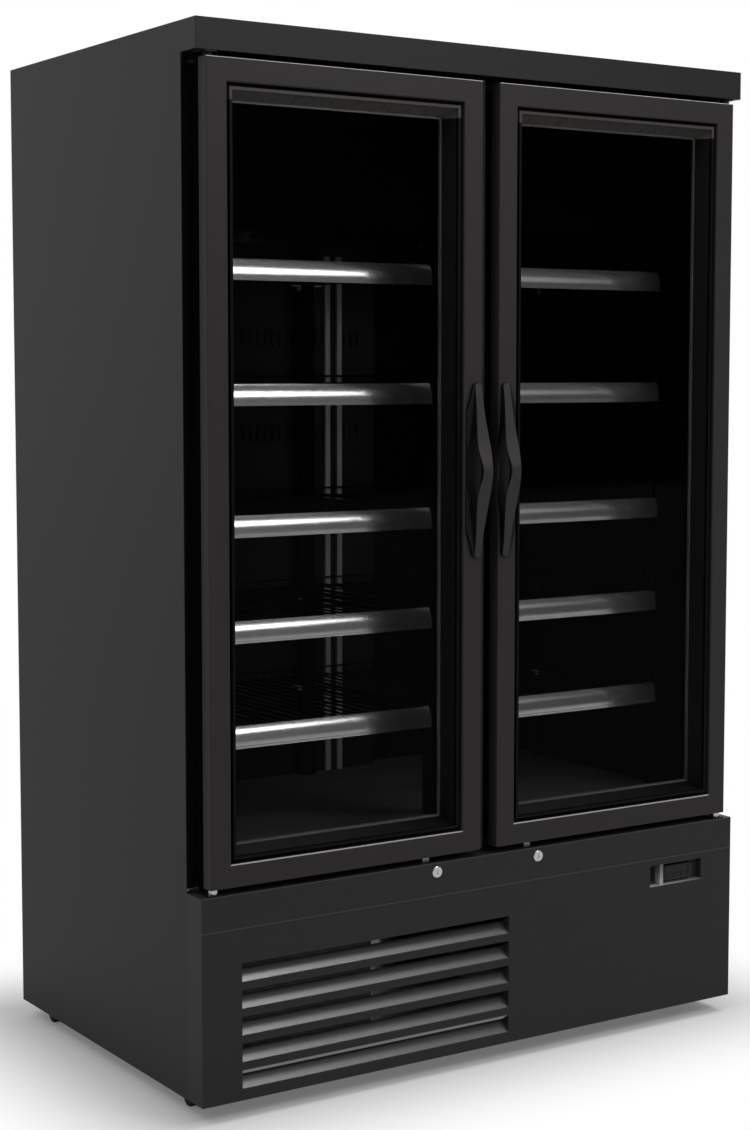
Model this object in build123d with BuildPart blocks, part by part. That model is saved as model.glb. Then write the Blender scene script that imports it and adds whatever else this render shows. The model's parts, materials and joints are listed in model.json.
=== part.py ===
from build123d import *
import math
import os

# Upright display freezer with two glass doors, in millimetres.
# +X is to the right, +Y to the back and +Z up. The origin is at the centre of the
# footprint, on the floor.

os.makedirs("parts", exist_ok=True)

# Cabinet
body_width = 1250.0
body_height = 1904.0
body_depth = 724.0
ground_clearance = 35.0
skin = 1.2
fold = 24.0
side_foam = 58.0
roof_foam = 60.0
floor_foam = 60.0
back_foam = 58.0
liner_skin = 1.0
machine_room_height = 365.0

# Front pieces that stand before the body
front_depth = 55.0
valance_height = 54.0
base_strip_height = 63.2
grille_height = 314.3

# Front frame and mullion
frame_land = 24.0
frame_thick = 12.0
mullion_half_land = 58.0
mullion_half_box = 30.0
mullion_box_depth = 42.0
trim_width = 4.5
trim_thick = 0.8
trim_inset = 20.0

# Doors
door_gap_centre = 38.8
door_side_gap = 19.4
door_top_gap = 10.0
door_bottom_gap = 12.0
stile_width = 42.0
stile_depth = 27.0
lip_round = 3.0
edge_round = 2.0
inner_step = 15.0
seal_groove = 6.5
bead_step = 12.0
bead_front = 4.0
bead_shoulder = 10.0
bead_flat = 1.0
bead_width = 26.0
glass_front = 35.0
pane_thick = 4.0
pane_gap = 6.0
glass_edge = 13.0
glass_play = 0.5
rear_lip_width = 22.0
rear_lip_thick = 2.0
spacer_width = 16.0
gasket_width = 20.0
gasket_inset = 16.0

# Door hinges
pin_inset = 31.0
pin_depth = 14.0
pin_radius = 5.0
pin_length = 26.0
running_fit = 0.05
collar_radius = 9.0
hinge_plate_thick = 3.0
hinge_plate_width = 34.0
hinge_leg_height = 9.0
hinge_leg_thick = 2.5
hinge_leg_width = 22.0
seat_gap = 0.3

# Handles
handle_height = 330.0
handle_centre_height = 1151.0
handle_peak = 40.0
handle_knee_depth = 31.0
handle_shoulder_depth = 20.5
handle_root_depth = 13.5
handle_tip_depth = 6.0
handle_knee_span = 33.0
handle_shoulder_span = 76.0
handle_root_span = 118.0
bar_inset = 13.6
bar_waist = 11.2
bar_knee = 14.2
bar_shoulder = 12.6
bar_end = 8.5
flange_margin = 4.0
flange_span = 222.0
flange_thick = 6.0
flange_chamfer = 3.0
flange_step = 1.0
strip_thick = 1.6
strip_margin = 0.8
window_span = 164.0
window_end_depth = 13.0
window_top_depth = 32.0
window_floor = 0.8

# Locks
lock_offset = 120.0
lock_height = 360.0
lock_radius = 11.0
lock_body_radius = 9.0
lock_body_length = 12.0
lock_rim = 2.0
plug_radius = 6.5
key_slot_width = 2.0
key_slot_length = 8.0
cam_pin_radius = 2.0
cam_throw = 8.5
cam_thick = 3.0
bolt_shift = 15.0
bolt_width = 15.0
bolt_thick = 4.0
bolt_rise = 10.0
bolt_travel = 12.0
cam_slot_clearance = 0.7
slide_clearance = 0.3
guide_thick = 2.0
cam_start_angle = -45.0
cam_rim = 1.0
bolt_ear = 6.0
cam_slot_end = 4.0
pocket_clearance = 1.2

# Louvred panel
louvre_left = 543.5
louvre_right = 50.0
louvre_count = 5
louvre_pitch = 48.85
louvre_top = 250.4
louvre_height = 34.4
louvre_depth = 20.0
louvre_mouth = 13.0

# Control recess
recess_left = 407.0
recess_right = 544.0
recess_bottom = 259.0
recess_top = 301.0
recess_depth = 16.0
recess_wall = 1.6
recess_bar = 9.0
recess_bar_left = 434.0
display_left = 444.0
display_right = 528.0
display_margin = 5.0
display_depth = 10.0
screen_margin = 4.0
key_raise = 0.8
key_count = 4
rocker_width = 15.0
rocker_height = 24.0
rocker_depth = 12.0
rocker_tilt = 9.0
rocker_pin_radius = 1.5
rocker_heel = 4.0

# Shelves
shelf_wall_gap = 12.0
shelf_centre_gap = 24.0
shelf_front = 158.0
shelf_depth = 520.0
shelf_spaces = (220.0, 196.0, 196.0, 242.0, 229.0, 77.0)
wire = 4.0
shelf_wires = 21
shelf_bars = 4
shelf_drop = 14.0
shelf_stop = 15.0
rail_height = 40.0
rail_set_back = 10.0
rail_lip = 3.0
rail_thick = 3.0
rail_groove = 1.2

# Standards and clips that carry the shelves
standard_width = 25.0
standard_depth = 10.0
wall_standard_front = 192.0
wall_standard_rear = 570.0
post_width = 31.0
post_depth = 20.0
post_front = 182.0
post_rear = 658.0
slot_pitch = 33.0
slot_height = 12.0
slot_width = 4.0
slot_depth = 3.0
clip_width = 12.0
clip_height = 12.0
clip_thick = 3.0

# Cold-air side
duct_half_width = 190.0
duct_front = 690.0
duct_overlap = 24.0
duct_skin = 1.2
air_row_drops = (417.0, 213.0)
air_slot_width = 5.0
air_slot_height = 34.0
air_slot_pitch = 18.0
channel_left = 58.0
channel_right = 100.0
channel_depth = 8.0
channel_edge = 12.0
channel_drop = 36.0
hood_front = 300.0
hood_drop = 257.8
hood_skin = 1.5
hood_slope = 40.0
evaporator_width = 900.0
evaporator_depth = 200.0
evaporator_height = 120.0
evap_tube_rows = 4
evap_fan_offset = 260.0
evap_fan_radius = 76.0
fan_hub_radius = 22.0
fan_hub_length = 22.0
fan_blades = 5
fan_blade_thick = 1.6
fan_blade_sink = 2.0
fan_root_chord = 20.0
fan_root_lean = 45.0
fan_tip_chord = 0.55
fan_tip_lean = 22.0
fan_tip_clearance = 4.0
fan_gap = 6.0
shaft_radius = 4.0
motor_radius = 34.0
motor_length = 46.0
motor_round = 5.0
motor_arm = 10.0

# Machine room
tray_height = 40.0
tray_skin = 2.0
tray_lip = 18.0
condenser_width = 360.0
condenser_height = 240.0
condenser_depth = 66.0
condenser_side_gap = 65.0
condenser_gap = 20.0
fan_radius = 100.0
shroud_depth = 36.0
shroud_skin = 1.5
tube_radius = 4.8
tube_rows = 8
compressor_radius = 82.0
compressor_height = 190.0
compressor_side_gap = 475.0
compressor_y = 460.0
compressor_foot = 12.0
compressor_plate = 3.0
compressor_base_length = 180.0
compressor_base_width = 124.0
compressor_feet_length = 140.0
compressor_feet_width = 82.0
drip_tray_side_gap = 53.0
drip_tray_width = 300.0
drip_tray_depth = 220.0
drip_tray_height = 40.0
drip_tray_wall = 2.0
vent_count = 8
vent_width = 420.0
vent_height = 9.0
vent_pitch = 26.0

# Castors
castor_inset = 41.0
castor_front = 134.0
castor_rear = 724.0
castor_turn = 6.0
castor_trail = 20.0
wheel_radius = 22.5
wheel_width = 18.0
wheel_round = 4.0
axle_radius = 4.0
axle_height = 22.5
fork_gap = 1.0
fork_wall = 2.5
fork_top = 60.0
fork_neck = 30.0
castor_plate = 60.0
castor_plate_thick = 3.0
swivel_radius = 20.0
swivel_pin_radius = 6.0
pedal_reach = 22.0
pedal_pin_height = 27.0
pedal_pin_radius = 2.0
pedal_length = 30.0
pedal_drop = 8.0
pedal_width = 22.0
pedal_thick = 4.0
pedal_toe = 12.0

# Places worked out from the sizes above
front_y = -(handle_peak + front_depth + body_depth) / 2 + handle_peak
face_y = front_y + front_depth
back_y = face_y + body_depth
side_x = body_width / 2
floor_z = ground_clearance
top_z = ground_clearance + body_height
valance_z = top_z - valance_height
seam_z = floor_z + grille_height
base_top_z = seam_z + base_strip_height
cavity_x = side_x - skin - side_foam
cavity_z = floor_z + machine_room_height + floor_foam
cavity_top = top_z - skin - roof_foam
cavity_back = back_y - skin - back_foam
machine_top = floor_z + machine_room_height
condenser_left = -side_x + condenser_side_gap
compressor_x = side_x - compressor_side_gap
hood_low = cavity_top - hood_drop
tray_z = floor_z + tray_height

door_low = base_top_z + door_bottom_gap
door_high = valance_z - door_top_gap
door_in_x = door_gap_centre / 2
door_out_x = side_x - door_side_gap
door_width = door_out_x - door_in_x
door_height = door_high - door_low
door_mid_x = (door_in_x + door_out_x) / 2
door_mid_z = (door_low + door_high) / 2
lip_width = door_width - 2 * stile_width
lip_height = door_height - 2 * stile_width
glass_back = glass_front + 2 * pane_thick + pane_gap
rear_frame_y = glass_back + rear_lip_thick
pin_x = side_x - pin_inset
pin_y = front_y + pin_depth

# Shelf levels: the spaces under, between and over the shelves fill the height from the
# liner's floor to the evaporator hood
space_share = (hood_low - cavity_z) / sum(shelf_spaces)
shelf_levels = [
    cavity_z + space_share * sum(shelf_spaces[:count]) for count in range(1, len(shelf_spaces))
]


def block(low, high, mode=Mode.ADD):
    """A block between two opposite corners, added to or cut from the open part."""
    centre = [(a + b) / 2 for a, b in zip(low, high)]
    size = [b - a for a, b in zip(low, high)]
    with Locations(tuple(centre)):
        return Box(size[0], size[1], size[2], mode=mode)


def rod(centre, axis, radius, length, mode=Mode.ADD):
    """A round bar that starts at a point and runs along an axis."""
    with BuildSketch(Plane(origin=centre, z_dir=axis)) as section:
        Circle(radius)
    return extrude(section.sketch, amount=length, mode=mode)


def facing(y, x=0.0, z=0.0):
    """A plane that looks out of the front, with X to the right and Z up."""
    return Plane(origin=(x, y, z), x_dir=(1, 0, 0), z_dir=(0, -1, 0))


def ring(side, inset, width, y_low, y_high, mode=Mode.ADD):
    """A rectangular ring in a door, measured inwards from the door's outline."""
    outer_w = door_width - 2 * inset
    outer_h = door_height - 2 * inset
    with BuildSketch(facing(y_low, side * door_mid_x, door_mid_z)) as outline:
        Rectangle(outer_w, outer_h)
        Rectangle(outer_w - 2 * width, outer_h - 2 * width, mode=Mode.SUBTRACT)
    return extrude(outline.sketch, amount=y_low - y_high, mode=mode)


def save(built, name):
    """Names a finished piece and writes it to its own file."""
    built.part.label = name
    export_step(built.part, f"parts/{name}.step")


def save_group(name, pieces):
    """Writes separate solids of one kind that share a file."""
    solids = [solid for piece in pieces for solid in piece.solids()]
    export_step(Compound(solids, label=name), f"parts/{name}.step")


sides = {"left": -1, "right": 1}

# Outer shell: one sheet folded over the top and down both sides
with BuildPart() as outer_shell:
    block((-side_x, face_y, floor_z), (side_x, back_y, top_z))
    block(
        (-side_x + skin, face_y, floor_z),
        (side_x - skin, back_y, top_z - skin),
        Mode.SUBTRACT,
    )

# Flange spot-welded inside the shell's front edge, which the front pieces sit on
with BuildPart() as front_flange:
    with BuildSketch(facing(face_y)) as flange_outline:
        with Locations((0, (floor_z + top_z - skin) / 2)):
            Rectangle(body_width - 2 * skin, body_height - skin)
        with Locations((0, (floor_z + top_z - fold) / 2)):
            Rectangle(body_width - 2 * fold, body_height - fold, mode=Mode.SUBTRACT)
    extrude(flange_outline.sketch, amount=-skin)

# Back panel, riveted into the shell from the machine room up to the roof
with BuildPart() as back_panel:
    block(
        (-side_x + skin, back_y - skin, machine_top),
        (side_x - skin, back_y, top_z - skin),
    )
save_group("outer_shell", [outer_shell.part, front_flange.part, back_panel.part])

# Front frame: the plastic breaker strip round the opening and the mullion that
# both doors close on, with a thin light trim beside each door's free edge
frame_low = base_top_z
frame_high = cavity_top + frame_land
with BuildPart() as front_frame:
    with BuildSketch(facing(face_y)) as frame_outline:
        with Locations((0, (frame_low + frame_high) / 2)):
            Rectangle(2 * (side_x - fold), frame_high - frame_low)
        with Locations((0, (cavity_z + cavity_top) / 2)):
            Rectangle(2 * cavity_x, cavity_top - cavity_z, mode=Mode.SUBTRACT)
            Rectangle(2 * mullion_half_land, cavity_top - cavity_z)
    extrude(frame_outline.sketch, amount=-frame_thick)
    block(
        (-mullion_half_box, face_y + frame_thick, cavity_z),
        (mullion_half_box, face_y + mullion_box_depth, cavity_top),
    )
    block(
        (-trim_inset - trim_width, face_y - trim_thick, door_low),
        (-trim_inset, face_y, door_high),
    )
    mirror(about=Plane.YZ)
save(front_frame, "front_frame")

# Liner: the inner box of the cold space
with BuildPart() as liner:
    block(
        (-cavity_x - liner_skin, face_y + frame_thick, cavity_z - liner_skin),
        (cavity_x + liner_skin, cavity_back + liner_skin, cavity_top + liner_skin),
    )
    block(
        (-cavity_x, face_y + frame_thick, cavity_z),
        (cavity_x, cavity_back, cavity_top),
        Mode.SUBTRACT,
    )
save(liner, "liner")

# Foam between the shell and the liner
with BuildPart() as insulation:
    block(
        (-side_x + skin, face_y + skin, machine_top),
        (side_x - skin, back_y - skin, top_z - skin),
    )
    block(
        (-side_x + fold, face_y + skin, frame_low),
        (side_x - fold, face_y + frame_thick, frame_high),
        Mode.SUBTRACT,
    )
    block(
        (-cavity_x - liner_skin, face_y, cavity_z - liner_skin),
        (cavity_x + liner_skin, cavity_back + liner_skin, cavity_top + liner_skin),
        Mode.SUBTRACT,
    )
save(insulation, "insulation")

# Top valance: a folded channel, open at the back
with BuildPart() as top_valance:
    block((-side_x, front_y, valance_z), (side_x, face_y, top_z))
    block(
        (-side_x + skin, front_y + skin, valance_z + skin),
        (side_x - skin, face_y, top_z - skin),
        Mode.SUBTRACT,
    )
    front_corners = top_valance.edges().filter_by(Axis.Z).group_by(Axis.Y)[0]
    fillet(front_corners.group_by(Axis.X)[0] + front_corners.group_by(Axis.X)[-1], skin)
save(top_valance, "top_valance")

# Base strip with the two locks in it
bolt_x = {name: side * lock_offset - bolt_shift for name, side in sides.items()}
lock_z = floor_z + lock_height
bolt_y = front_y + skin + lock_body_length + cam_thick + seat_gap
pocket_depth = bolt_rise + bolt_travel - door_bottom_gap + pocket_clearance
with BuildPart() as base_strip:
    block((-side_x, front_y, seam_z), (side_x, face_y, base_top_z))
    block(
        (-side_x + skin, front_y + skin, seam_z),
        (side_x - skin, face_y, base_top_z - skin),
        Mode.SUBTRACT,
    )
    for name, side in sides.items():
        rod(
            (side * lock_offset, front_y, lock_z),
            (0, 1, 0),
            lock_body_radius,
            skin,
            Mode.SUBTRACT,
        )
        slot_half = bolt_width / 2 + slide_clearance
        block(
            (bolt_x[name] - slot_half, bolt_y - slide_clearance, base_top_z - skin),
            (bolt_x[name] + slot_half, bolt_y + bolt_thick + slide_clearance, base_top_z),
            Mode.SUBTRACT,
        )
        guide_y = bolt_y + bolt_thick + slide_clearance
        block(
            (bolt_x[name] - bolt_width, guide_y, lock_z - bolt_width),
            (bolt_x[name] + bolt_width, guide_y + guide_thick, base_top_z - skin),
        )
save(base_strip, "base_strip")

# Louvred lower panel. Each slot has a blade that leans back from its lower edge and
# a triangular cheek at each end; the control recess is formed in the same panel.
louvre_width = louvre_left + louvre_right
blade_rise = louvre_height - louvre_mouth


def blade_profile(x):
    """The leaning blade's section, on a plane across the panel."""
    across = Plane(origin=(x, 0, 0), x_dir=(0, 1, 0), z_dir=(1, 0, 0))
    lean = math.hypot(louvre_depth, blade_rise)
    back = skin * louvre_depth / lean
    drop = skin * blade_rise / lean
    return across, back, drop


def louvre(top):
    """One slot with its blade and end cheeks."""
    low = floor_z + top - louvre_height
    high = floor_z + top
    block((-louvre_left, front_y, low), (louvre_right, front_y + skin, high), Mode.SUBTRACT)
    across, back, drop = blade_profile(-louvre_left)
    with BuildSketch(across) as blade:
        Polygon(
            (front_y, low),
            (front_y + louvre_depth, low + blade_rise),
            (front_y + louvre_depth + drop, low + blade_rise - back),
            (front_y + skin, low - skin),
            (front_y, low - skin),
            align=None,
        )
    extrude(blade.sketch, amount=louvre_width)
    for end in (-louvre_left - skin, louvre_right):
        with BuildSketch(Plane(origin=(end, 0, 0), x_dir=(0, 1, 0), z_dir=(1, 0, 0))) as cheek:
            Polygon(
                (front_y, low - skin),
                (front_y + louvre_depth, low + blade_rise),
                (front_y + skin, high),
                (front_y, high),
                align=None,
            )
        extrude(cheek.sketch, amount=skin)


recess_z = (floor_z + recess_bottom, floor_z + recess_top)
with BuildPart() as grille_panel:
    block((-side_x, front_y, floor_z), (side_x, face_y, seam_z))
    block(
        (-side_x + skin, front_y + skin, floor_z),
        (side_x - skin, face_y, seam_z - skin),
        Mode.SUBTRACT,
    )
    for row in range(louvre_count):
        louvre(louvre_top - row * louvre_pitch)
    block(
        (recess_left - recess_wall, front_y + skin, recess_z[0] - recess_wall),
        (recess_right + recess_wall, front_y + recess_depth, recess_z[1] + recess_wall),
    )
    pocket_y = front_y + recess_depth - recess_wall
    block(
        (recess_left, front_y, recess_z[0]),
        (recess_bar_left, pocket_y, recess_z[1]),
        Mode.SUBTRACT,
    )
    block(
        (recess_bar_left + recess_bar, front_y, recess_z[0]),
        (recess_right, pocket_y, recess_z[1]),
        Mode.SUBTRACT,
    )
    block(
        (recess_bar_left, front_y, recess_z[0]),
        (recess_bar_left + recess_bar, front_y + skin, recess_z[1]),
        Mode.SUBTRACT,
    )
    rocker_x = (recess_left + recess_bar_left) / 2
    rocker_z = (recess_z[0] + recess_z[1]) / 2
    opening_half_x = rocker_width / 2 + 2 * seat_gap
    opening_half_z = rocker_height / 2 + 2 * seat_gap
    block(
        (rocker_x - opening_half_x, pocket_y, rocker_z - opening_half_z),
        (rocker_x + opening_half_x, front_y + recess_depth, rocker_z + opening_half_z),
        Mode.SUBTRACT,
    )
    ear_y = front_y + recess_depth
    for ear in (-1, 1):
        near = rocker_x + ear * opening_half_x
        far = near + ear * recess_wall
        block(
            (min(near, far), ear_y, rocker_z - opening_half_z),
            (max(near, far), ear_y + rocker_depth, rocker_z + opening_half_z),
        )
    rocker_axis_y = ear_y + rocker_depth / 2
    rod(
        (rocker_x - opening_half_x - recess_wall, rocker_axis_y, rocker_z),
        (1, 0, 0),
        rocker_pin_radius + running_fit,
        2 * (opening_half_x + recess_wall),
        Mode.SUBTRACT,
    )
save(grille_panel, "grille_panel")

# Controller: a module with a raised bezel, a sunk screen and four membrane keys
with BuildPart() as controller:
    screen_low = recess_z[0] + display_margin
    screen_high = recess_z[1] - display_margin
    with BuildSketch(facing(pocket_y)) as fascia:
        with Locations(((display_left + display_right) / 2, (screen_low + screen_high) / 2)):
            RectangleRounded(
                display_right - display_left - 2 * display_margin,
                screen_high - screen_low,
                display_margin,
            )
    extrude(fascia.sketch, amount=display_depth)
    face = controller.faces().sort_by(Axis.Y)[0]
    chamfer(face.edges(), skin)
    glass_y = pocket_y - display_depth
    screen_left = display_left + 2 * display_margin + screen_margin
    screen_right = display_right - 2 * display_margin - screen_margin
    block(
        (screen_left, glass_y, rocker_z - screen_margin / 2),
        (screen_right, glass_y + skin, screen_high - screen_margin),
        Mode.SUBTRACT,
    )
    key_pitch = (screen_right - screen_left) / (key_count - 1)
    with BuildSketch(facing(glass_y)) as keys:
        with Locations(((screen_left + screen_right) / 2, screen_low + 2 * screen_margin)):
            with GridLocations(key_pitch, 0, key_count, 1):
                Circle(screen_margin)
    extrude(keys.sketch, amount=key_raise)
save(controller, "controller")

# Rocker switch on its own pin
with BuildPart() as rocker_switch:
    half_h = rocker_height / 2
    tilt = math.radians(rocker_tilt)
    proud = ear_y - recess_wall - skin
    across = Plane(origin=(rocker_x - rocker_width / 2, 0, 0), x_dir=(0, 1, 0), z_dir=(1, 0, 0))
    with BuildSketch(across) as profile:
        with BuildLine():
            Polyline(
                (rocker_axis_y + rocker_heel, rocker_z - rocker_heel),
                (proud, rocker_z - half_h + skin),
            )
            ThreePointArc(
                (proud, rocker_z - half_h + skin),
                (proud + half_h * math.sin(tilt), rocker_z),
                (proud, rocker_z + half_h - skin),
            )
            Polyline(
                (proud, rocker_z + half_h - skin),
                (rocker_axis_y + rocker_heel, rocker_z + rocker_heel),
                (rocker_axis_y + rocker_heel, rocker_z - rocker_heel),
            )
        make_face()
    extrude(profile.sketch, amount=rocker_width)
    pin_half = opening_half_x + recess_wall
    rod(
        (rocker_x - pin_half, rocker_axis_y, rocker_z),
        (1, 0, 0),
        rocker_pin_radius,
        2 * pin_half,
    )
save(rocker_switch, "rocker_switch")

# Hinge brackets: a plate above and below each door, with a collar and a pin
with BuildPart() as hinge_brackets:
    for side in sides.values():
        x = side * pin_x
        for plate_z, up in ((base_top_z, 1), (valance_z, -1)):
            low = plate_z if up > 0 else plate_z - hinge_plate_thick
            with BuildSketch(Plane.XY.offset(low)) as plate:
                with Locations((x, (pin_y + face_y) / 2)):
                    Rectangle(hinge_plate_width, face_y - pin_y)
                with Locations((x, pin_y)):
                    Circle(hinge_plate_width / 2)
                with Locations((x, (front_y + face_y) / 2)):
                    Rectangle(hinge_plate_width, front_depth - 2 * skin, mode=Mode.INTERSECT)
            extrude(plate.sketch, amount=hinge_plate_thick)
            leg_low = low if up > 0 else low + hinge_plate_thick - hinge_leg_height
            leg_x = side * (side_x - fold / 2)
            block(
                (leg_x - hinge_leg_width / 2, face_y - hinge_leg_thick, leg_low),
                (leg_x + hinge_leg_width / 2, face_y, leg_low + hinge_leg_height),
            )
            gap = door_bottom_gap if up > 0 else door_top_gap
            start = plate_z + up * hinge_plate_thick
            collar = gap - hinge_plate_thick - seat_gap
            rod((x, pin_y, start), (0, 0, up), collar_radius, collar)
            rod((x, pin_y, start), (0, 0, up), pin_radius, collar + seat_gap + pin_length)
save(hinge_brackets, "hinge_brackets")


# Doors. Every ring is measured from the same outline.
def door_frame(name, side):
    """Outer frame with a rounded lip, the two hinge bores and the bolt's pocket."""
    with BuildPart() as frame:
        ring(side, 0, stile_width, front_y, front_y + stile_depth)
        front = frame.faces().sort_by(Axis.Y)[0]
        fillet(front.inner_wires().edges(), lip_round)
        fillet(frame.faces().sort_by(Axis.Y)[0].outer_wire().edges(), edge_round)
        for z, up in ((door_low, 1), (door_high, -1)):
            rod(
                (side * pin_x, pin_y, z),
                (0, 0, up),
                pin_radius + running_fit,
                pin_length + pin_radius,
                Mode.SUBTRACT,
            )
        half = bolt_width / 2 + pocket_clearance
        block(
            (bolt_x[name] - half, bolt_y - pocket_clearance, door_low),
            (bolt_x[name] + half, bolt_y + bolt_thick + pocket_clearance, door_low + pocket_depth),
            Mode.SUBTRACT,
        )
    save(frame, f"door_frame_{name}")


def door_rear_frame(name, side):
    """Rear frame behind the outer one; it holds the glass between bead and lip."""
    lip_inset = stile_width
    with BuildPart() as frame:
        mid_y = front_y + stile_depth
        step_y = front_y + glass_front
        back = front_y + glass_back
        rear = front_y + rear_frame_y
        ring(side, inner_step, lip_inset + seal_groove - inner_step, mid_y, step_y)
        edge = lip_inset + glass_edge - glass_play
        ring(side, inner_step, edge - inner_step, step_y, back)
        ring(side, inner_step, lip_inset + rear_lip_width - inner_step, back, rear)
    save(frame, f"door_rear_frame_{name}")


def door_bead(name, side):
    """Glazing bead: a narrow front strip and a wide ledge that slopes to the glass."""
    with BuildPart() as bead:
        inset = stile_width + seal_groove
        ring(side, inset, bead_width - seal_groove, front_y + bead_front, front_y + glass_front)
        step = front_y + bead_shoulder
        block(
            (
                side * door_mid_x - lip_width / 2 + bead_step,
                front_y,
                door_mid_z - lip_height / 2 + bead_step,
            ),
            (
                side * door_mid_x + lip_width / 2 - bead_step,
                step,
                door_mid_z + lip_height / 2 - bead_step,
            ),
            Mode.SUBTRACT,
        )
        with BuildSketch(facing(step, side * door_mid_x, door_mid_z)) as mouth:
            mouth_inset = bead_step + bead_flat
            Rectangle(lip_width - 2 * mouth_inset, lip_height - 2 * mouth_inset)
        with BuildSketch(
            facing(front_y + glass_front, side * door_mid_x, door_mid_z)
        ) as throat:
            Rectangle(lip_width - 2 * bead_width, lip_height - 2 * bead_width)
        loft([mouth.sketch.face(), throat.sketch.face()], mode=Mode.SUBTRACT)
    save(bead, f"door_bead_{name}")


def door_glass(name, side):
    """Two panes with a dry gap between them."""
    width = lip_width - 2 * glass_edge
    height = lip_height - 2 * glass_edge
    with BuildPart() as glass:
        for depth in (glass_front, glass_front + pane_thick + pane_gap):
            y = front_y + depth
            block(
                (side * door_mid_x - width / 2, y, door_mid_z - height / 2),
                (side * door_mid_x + width / 2, y + pane_thick, door_mid_z + height / 2),
            )
    save(glass, f"door_glass_{name}")


def door_spacer(name, side):
    """Perforated spacer bar that runs round between the panes."""
    with BuildPart() as spacer:
        low = front_y + glass_front + pane_thick
        ring(side, stile_width + glass_edge, spacer_width, low, low + pane_gap)
    save(spacer, f"door_spacer_{name}")


def door_gasket(name, side):
    """Soft seal that closes against the cabinet's face."""
    with BuildPart() as gasket:
        ring(side, gasket_inset, gasket_width, front_y + rear_frame_y, face_y)
    save(gasket, f"door_gasket_{name}")


for door_name, door_side in sides.items():
    door_frame(door_name, door_side)
    door_rear_frame(door_name, door_side)
    door_bead(door_name, door_side)
    door_glass(door_name, door_side)
    door_spacer(door_name, door_side)
    door_gasket(door_name, door_side)


# Handles. The bar is the meeting of two views: its outline seen from the front, with
# a waist and two knees, and its bow seen from the side.
bar_x = -(door_in_x + bar_inset)


def bow(reach):
    """The bar's bow from the side, standing a given reach lower than its crest."""
    spans = (handle_height / 2, handle_root_span, handle_shoulder_span, handle_knee_span)
    depths = (handle_tip_depth, handle_root_depth, handle_shoulder_depth, handle_knee_depth)
    rise = [(handle_centre_height - s, d - reach) for s, d in zip(spans, depths)]
    fall = [(2 * handle_centre_height - z, d) for z, d in reversed(rise)]
    points = rise + [(handle_centre_height, handle_peak - reach)] + fall
    from_side = Plane(origin=(0, front_y, 0), x_dir=(0, 0, 1), z_dir=(1, 0, 0))
    with BuildSketch(from_side) as profile:
        with BuildLine():
            crest = Spline(*[(z, d) for z, d in points])
            Polyline(crest @ 1, (points[-1][0], 0), (points[0][0], 0), crest @ 0)
        make_face()
    return profile.sketch


def bar_outline(margin):
    """The bar from the front: narrow round ends, wide knees and a waist between."""
    half = handle_height / 2 - margin
    with BuildSketch(facing(front_y, bar_x, handle_centre_height)) as outline:
        with BuildLine():
            right = Spline(
                (bar_end - margin, -half + bar_end),
                (bar_shoulder - margin, -handle_shoulder_span),
                (bar_knee - margin, -handle_knee_span),
                (bar_waist - margin, 0),
                (bar_knee - margin, handle_knee_span),
                (bar_shoulder - margin, handle_shoulder_span),
                (bar_end - margin, half - bar_end),
            )
            left = Spline(
                (margin - bar_end, half - bar_end),
                (margin - bar_shoulder, handle_shoulder_span),
                (margin - bar_knee, handle_knee_span),
                (margin - bar_waist, 0),
                (margin - bar_knee, -handle_knee_span),
                (margin - bar_shoulder, -handle_shoulder_span),
                (margin - bar_end, -half + bar_end),
            )
            ThreePointArc(right @ 1, (0, half), left @ 0)
            ThreePointArc(left @ 1, (0, -half), right @ 0)
        make_face()
    return outline.sketch


with BuildPart() as handle_left:
    extrude(bar_outline(0), amount=handle_peak + skin)
    extrude(bow(strip_thick), amount=2 * side_x, both=True, mode=Mode.INTERSECT)
    flange_x = -(door_in_x + stile_width - flange_margin)
    half = flange_span / 2
    tip = handle_height / 2 - flange_chamfer
    with BuildSketch(facing(front_y, bar_x, handle_centre_height)) as flange:
        edge = flange_x - bar_x
        with BuildLine():
            Polyline((0, -tip), (0, tip), (-bar_end - flange_step, tip), (edge, half))
            Line((edge, half), (edge, -half))
            Polyline((edge, -half), (-bar_end - flange_step, -tip), (0, -tip))
        make_face()
    extrude(flange.sketch, amount=flange_thick)
    outer_edge = handle_left.edges().filter_by(Axis.Z).group_by(Axis.X)[0].sort_by(Axis.Y)[0]
    chamfer(outer_edge, flange_chamfer)
    with BuildSketch(Plane(origin=(0, front_y, 0), x_dir=(0, 0, 1), z_dir=(1, 0, 0))) as window:
        with BuildLine():
            low = (handle_centre_height - window_span / 2, window_end_depth)
            high = (handle_centre_height + window_span / 2, window_end_depth)
            ThreePointArc(low, (handle_centre_height, window_top_depth), high)
            ThreePointArc(high, (handle_centre_height, window_floor), low)
        make_face()
    extrude(window.sketch, amount=2 * side_x, both=True, mode=Mode.SUBTRACT)
save(handle_left, "handle_left")

with BuildPart() as handle_strip_left:
    extrude(bar_outline(strip_margin), amount=handle_peak + skin)
    extrude(bow(0), amount=2 * side_x, both=True, mode=Mode.INTERSECT)
    extrude(bow(strip_thick), amount=2 * side_x, both=True, mode=Mode.SUBTRACT)
    add(handle_left.part, mode=Mode.SUBTRACT)
save(handle_strip_left, "handle_strip_left")

with BuildPart() as handle_right:
    mirror(handle_left.part, about=Plane.YZ)
save(handle_right, "handle_right")

with BuildPart() as handle_strip_right:
    mirror(handle_strip_left.part, about=Plane.YZ)
save(handle_strip_right, "handle_strip_right")


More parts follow.
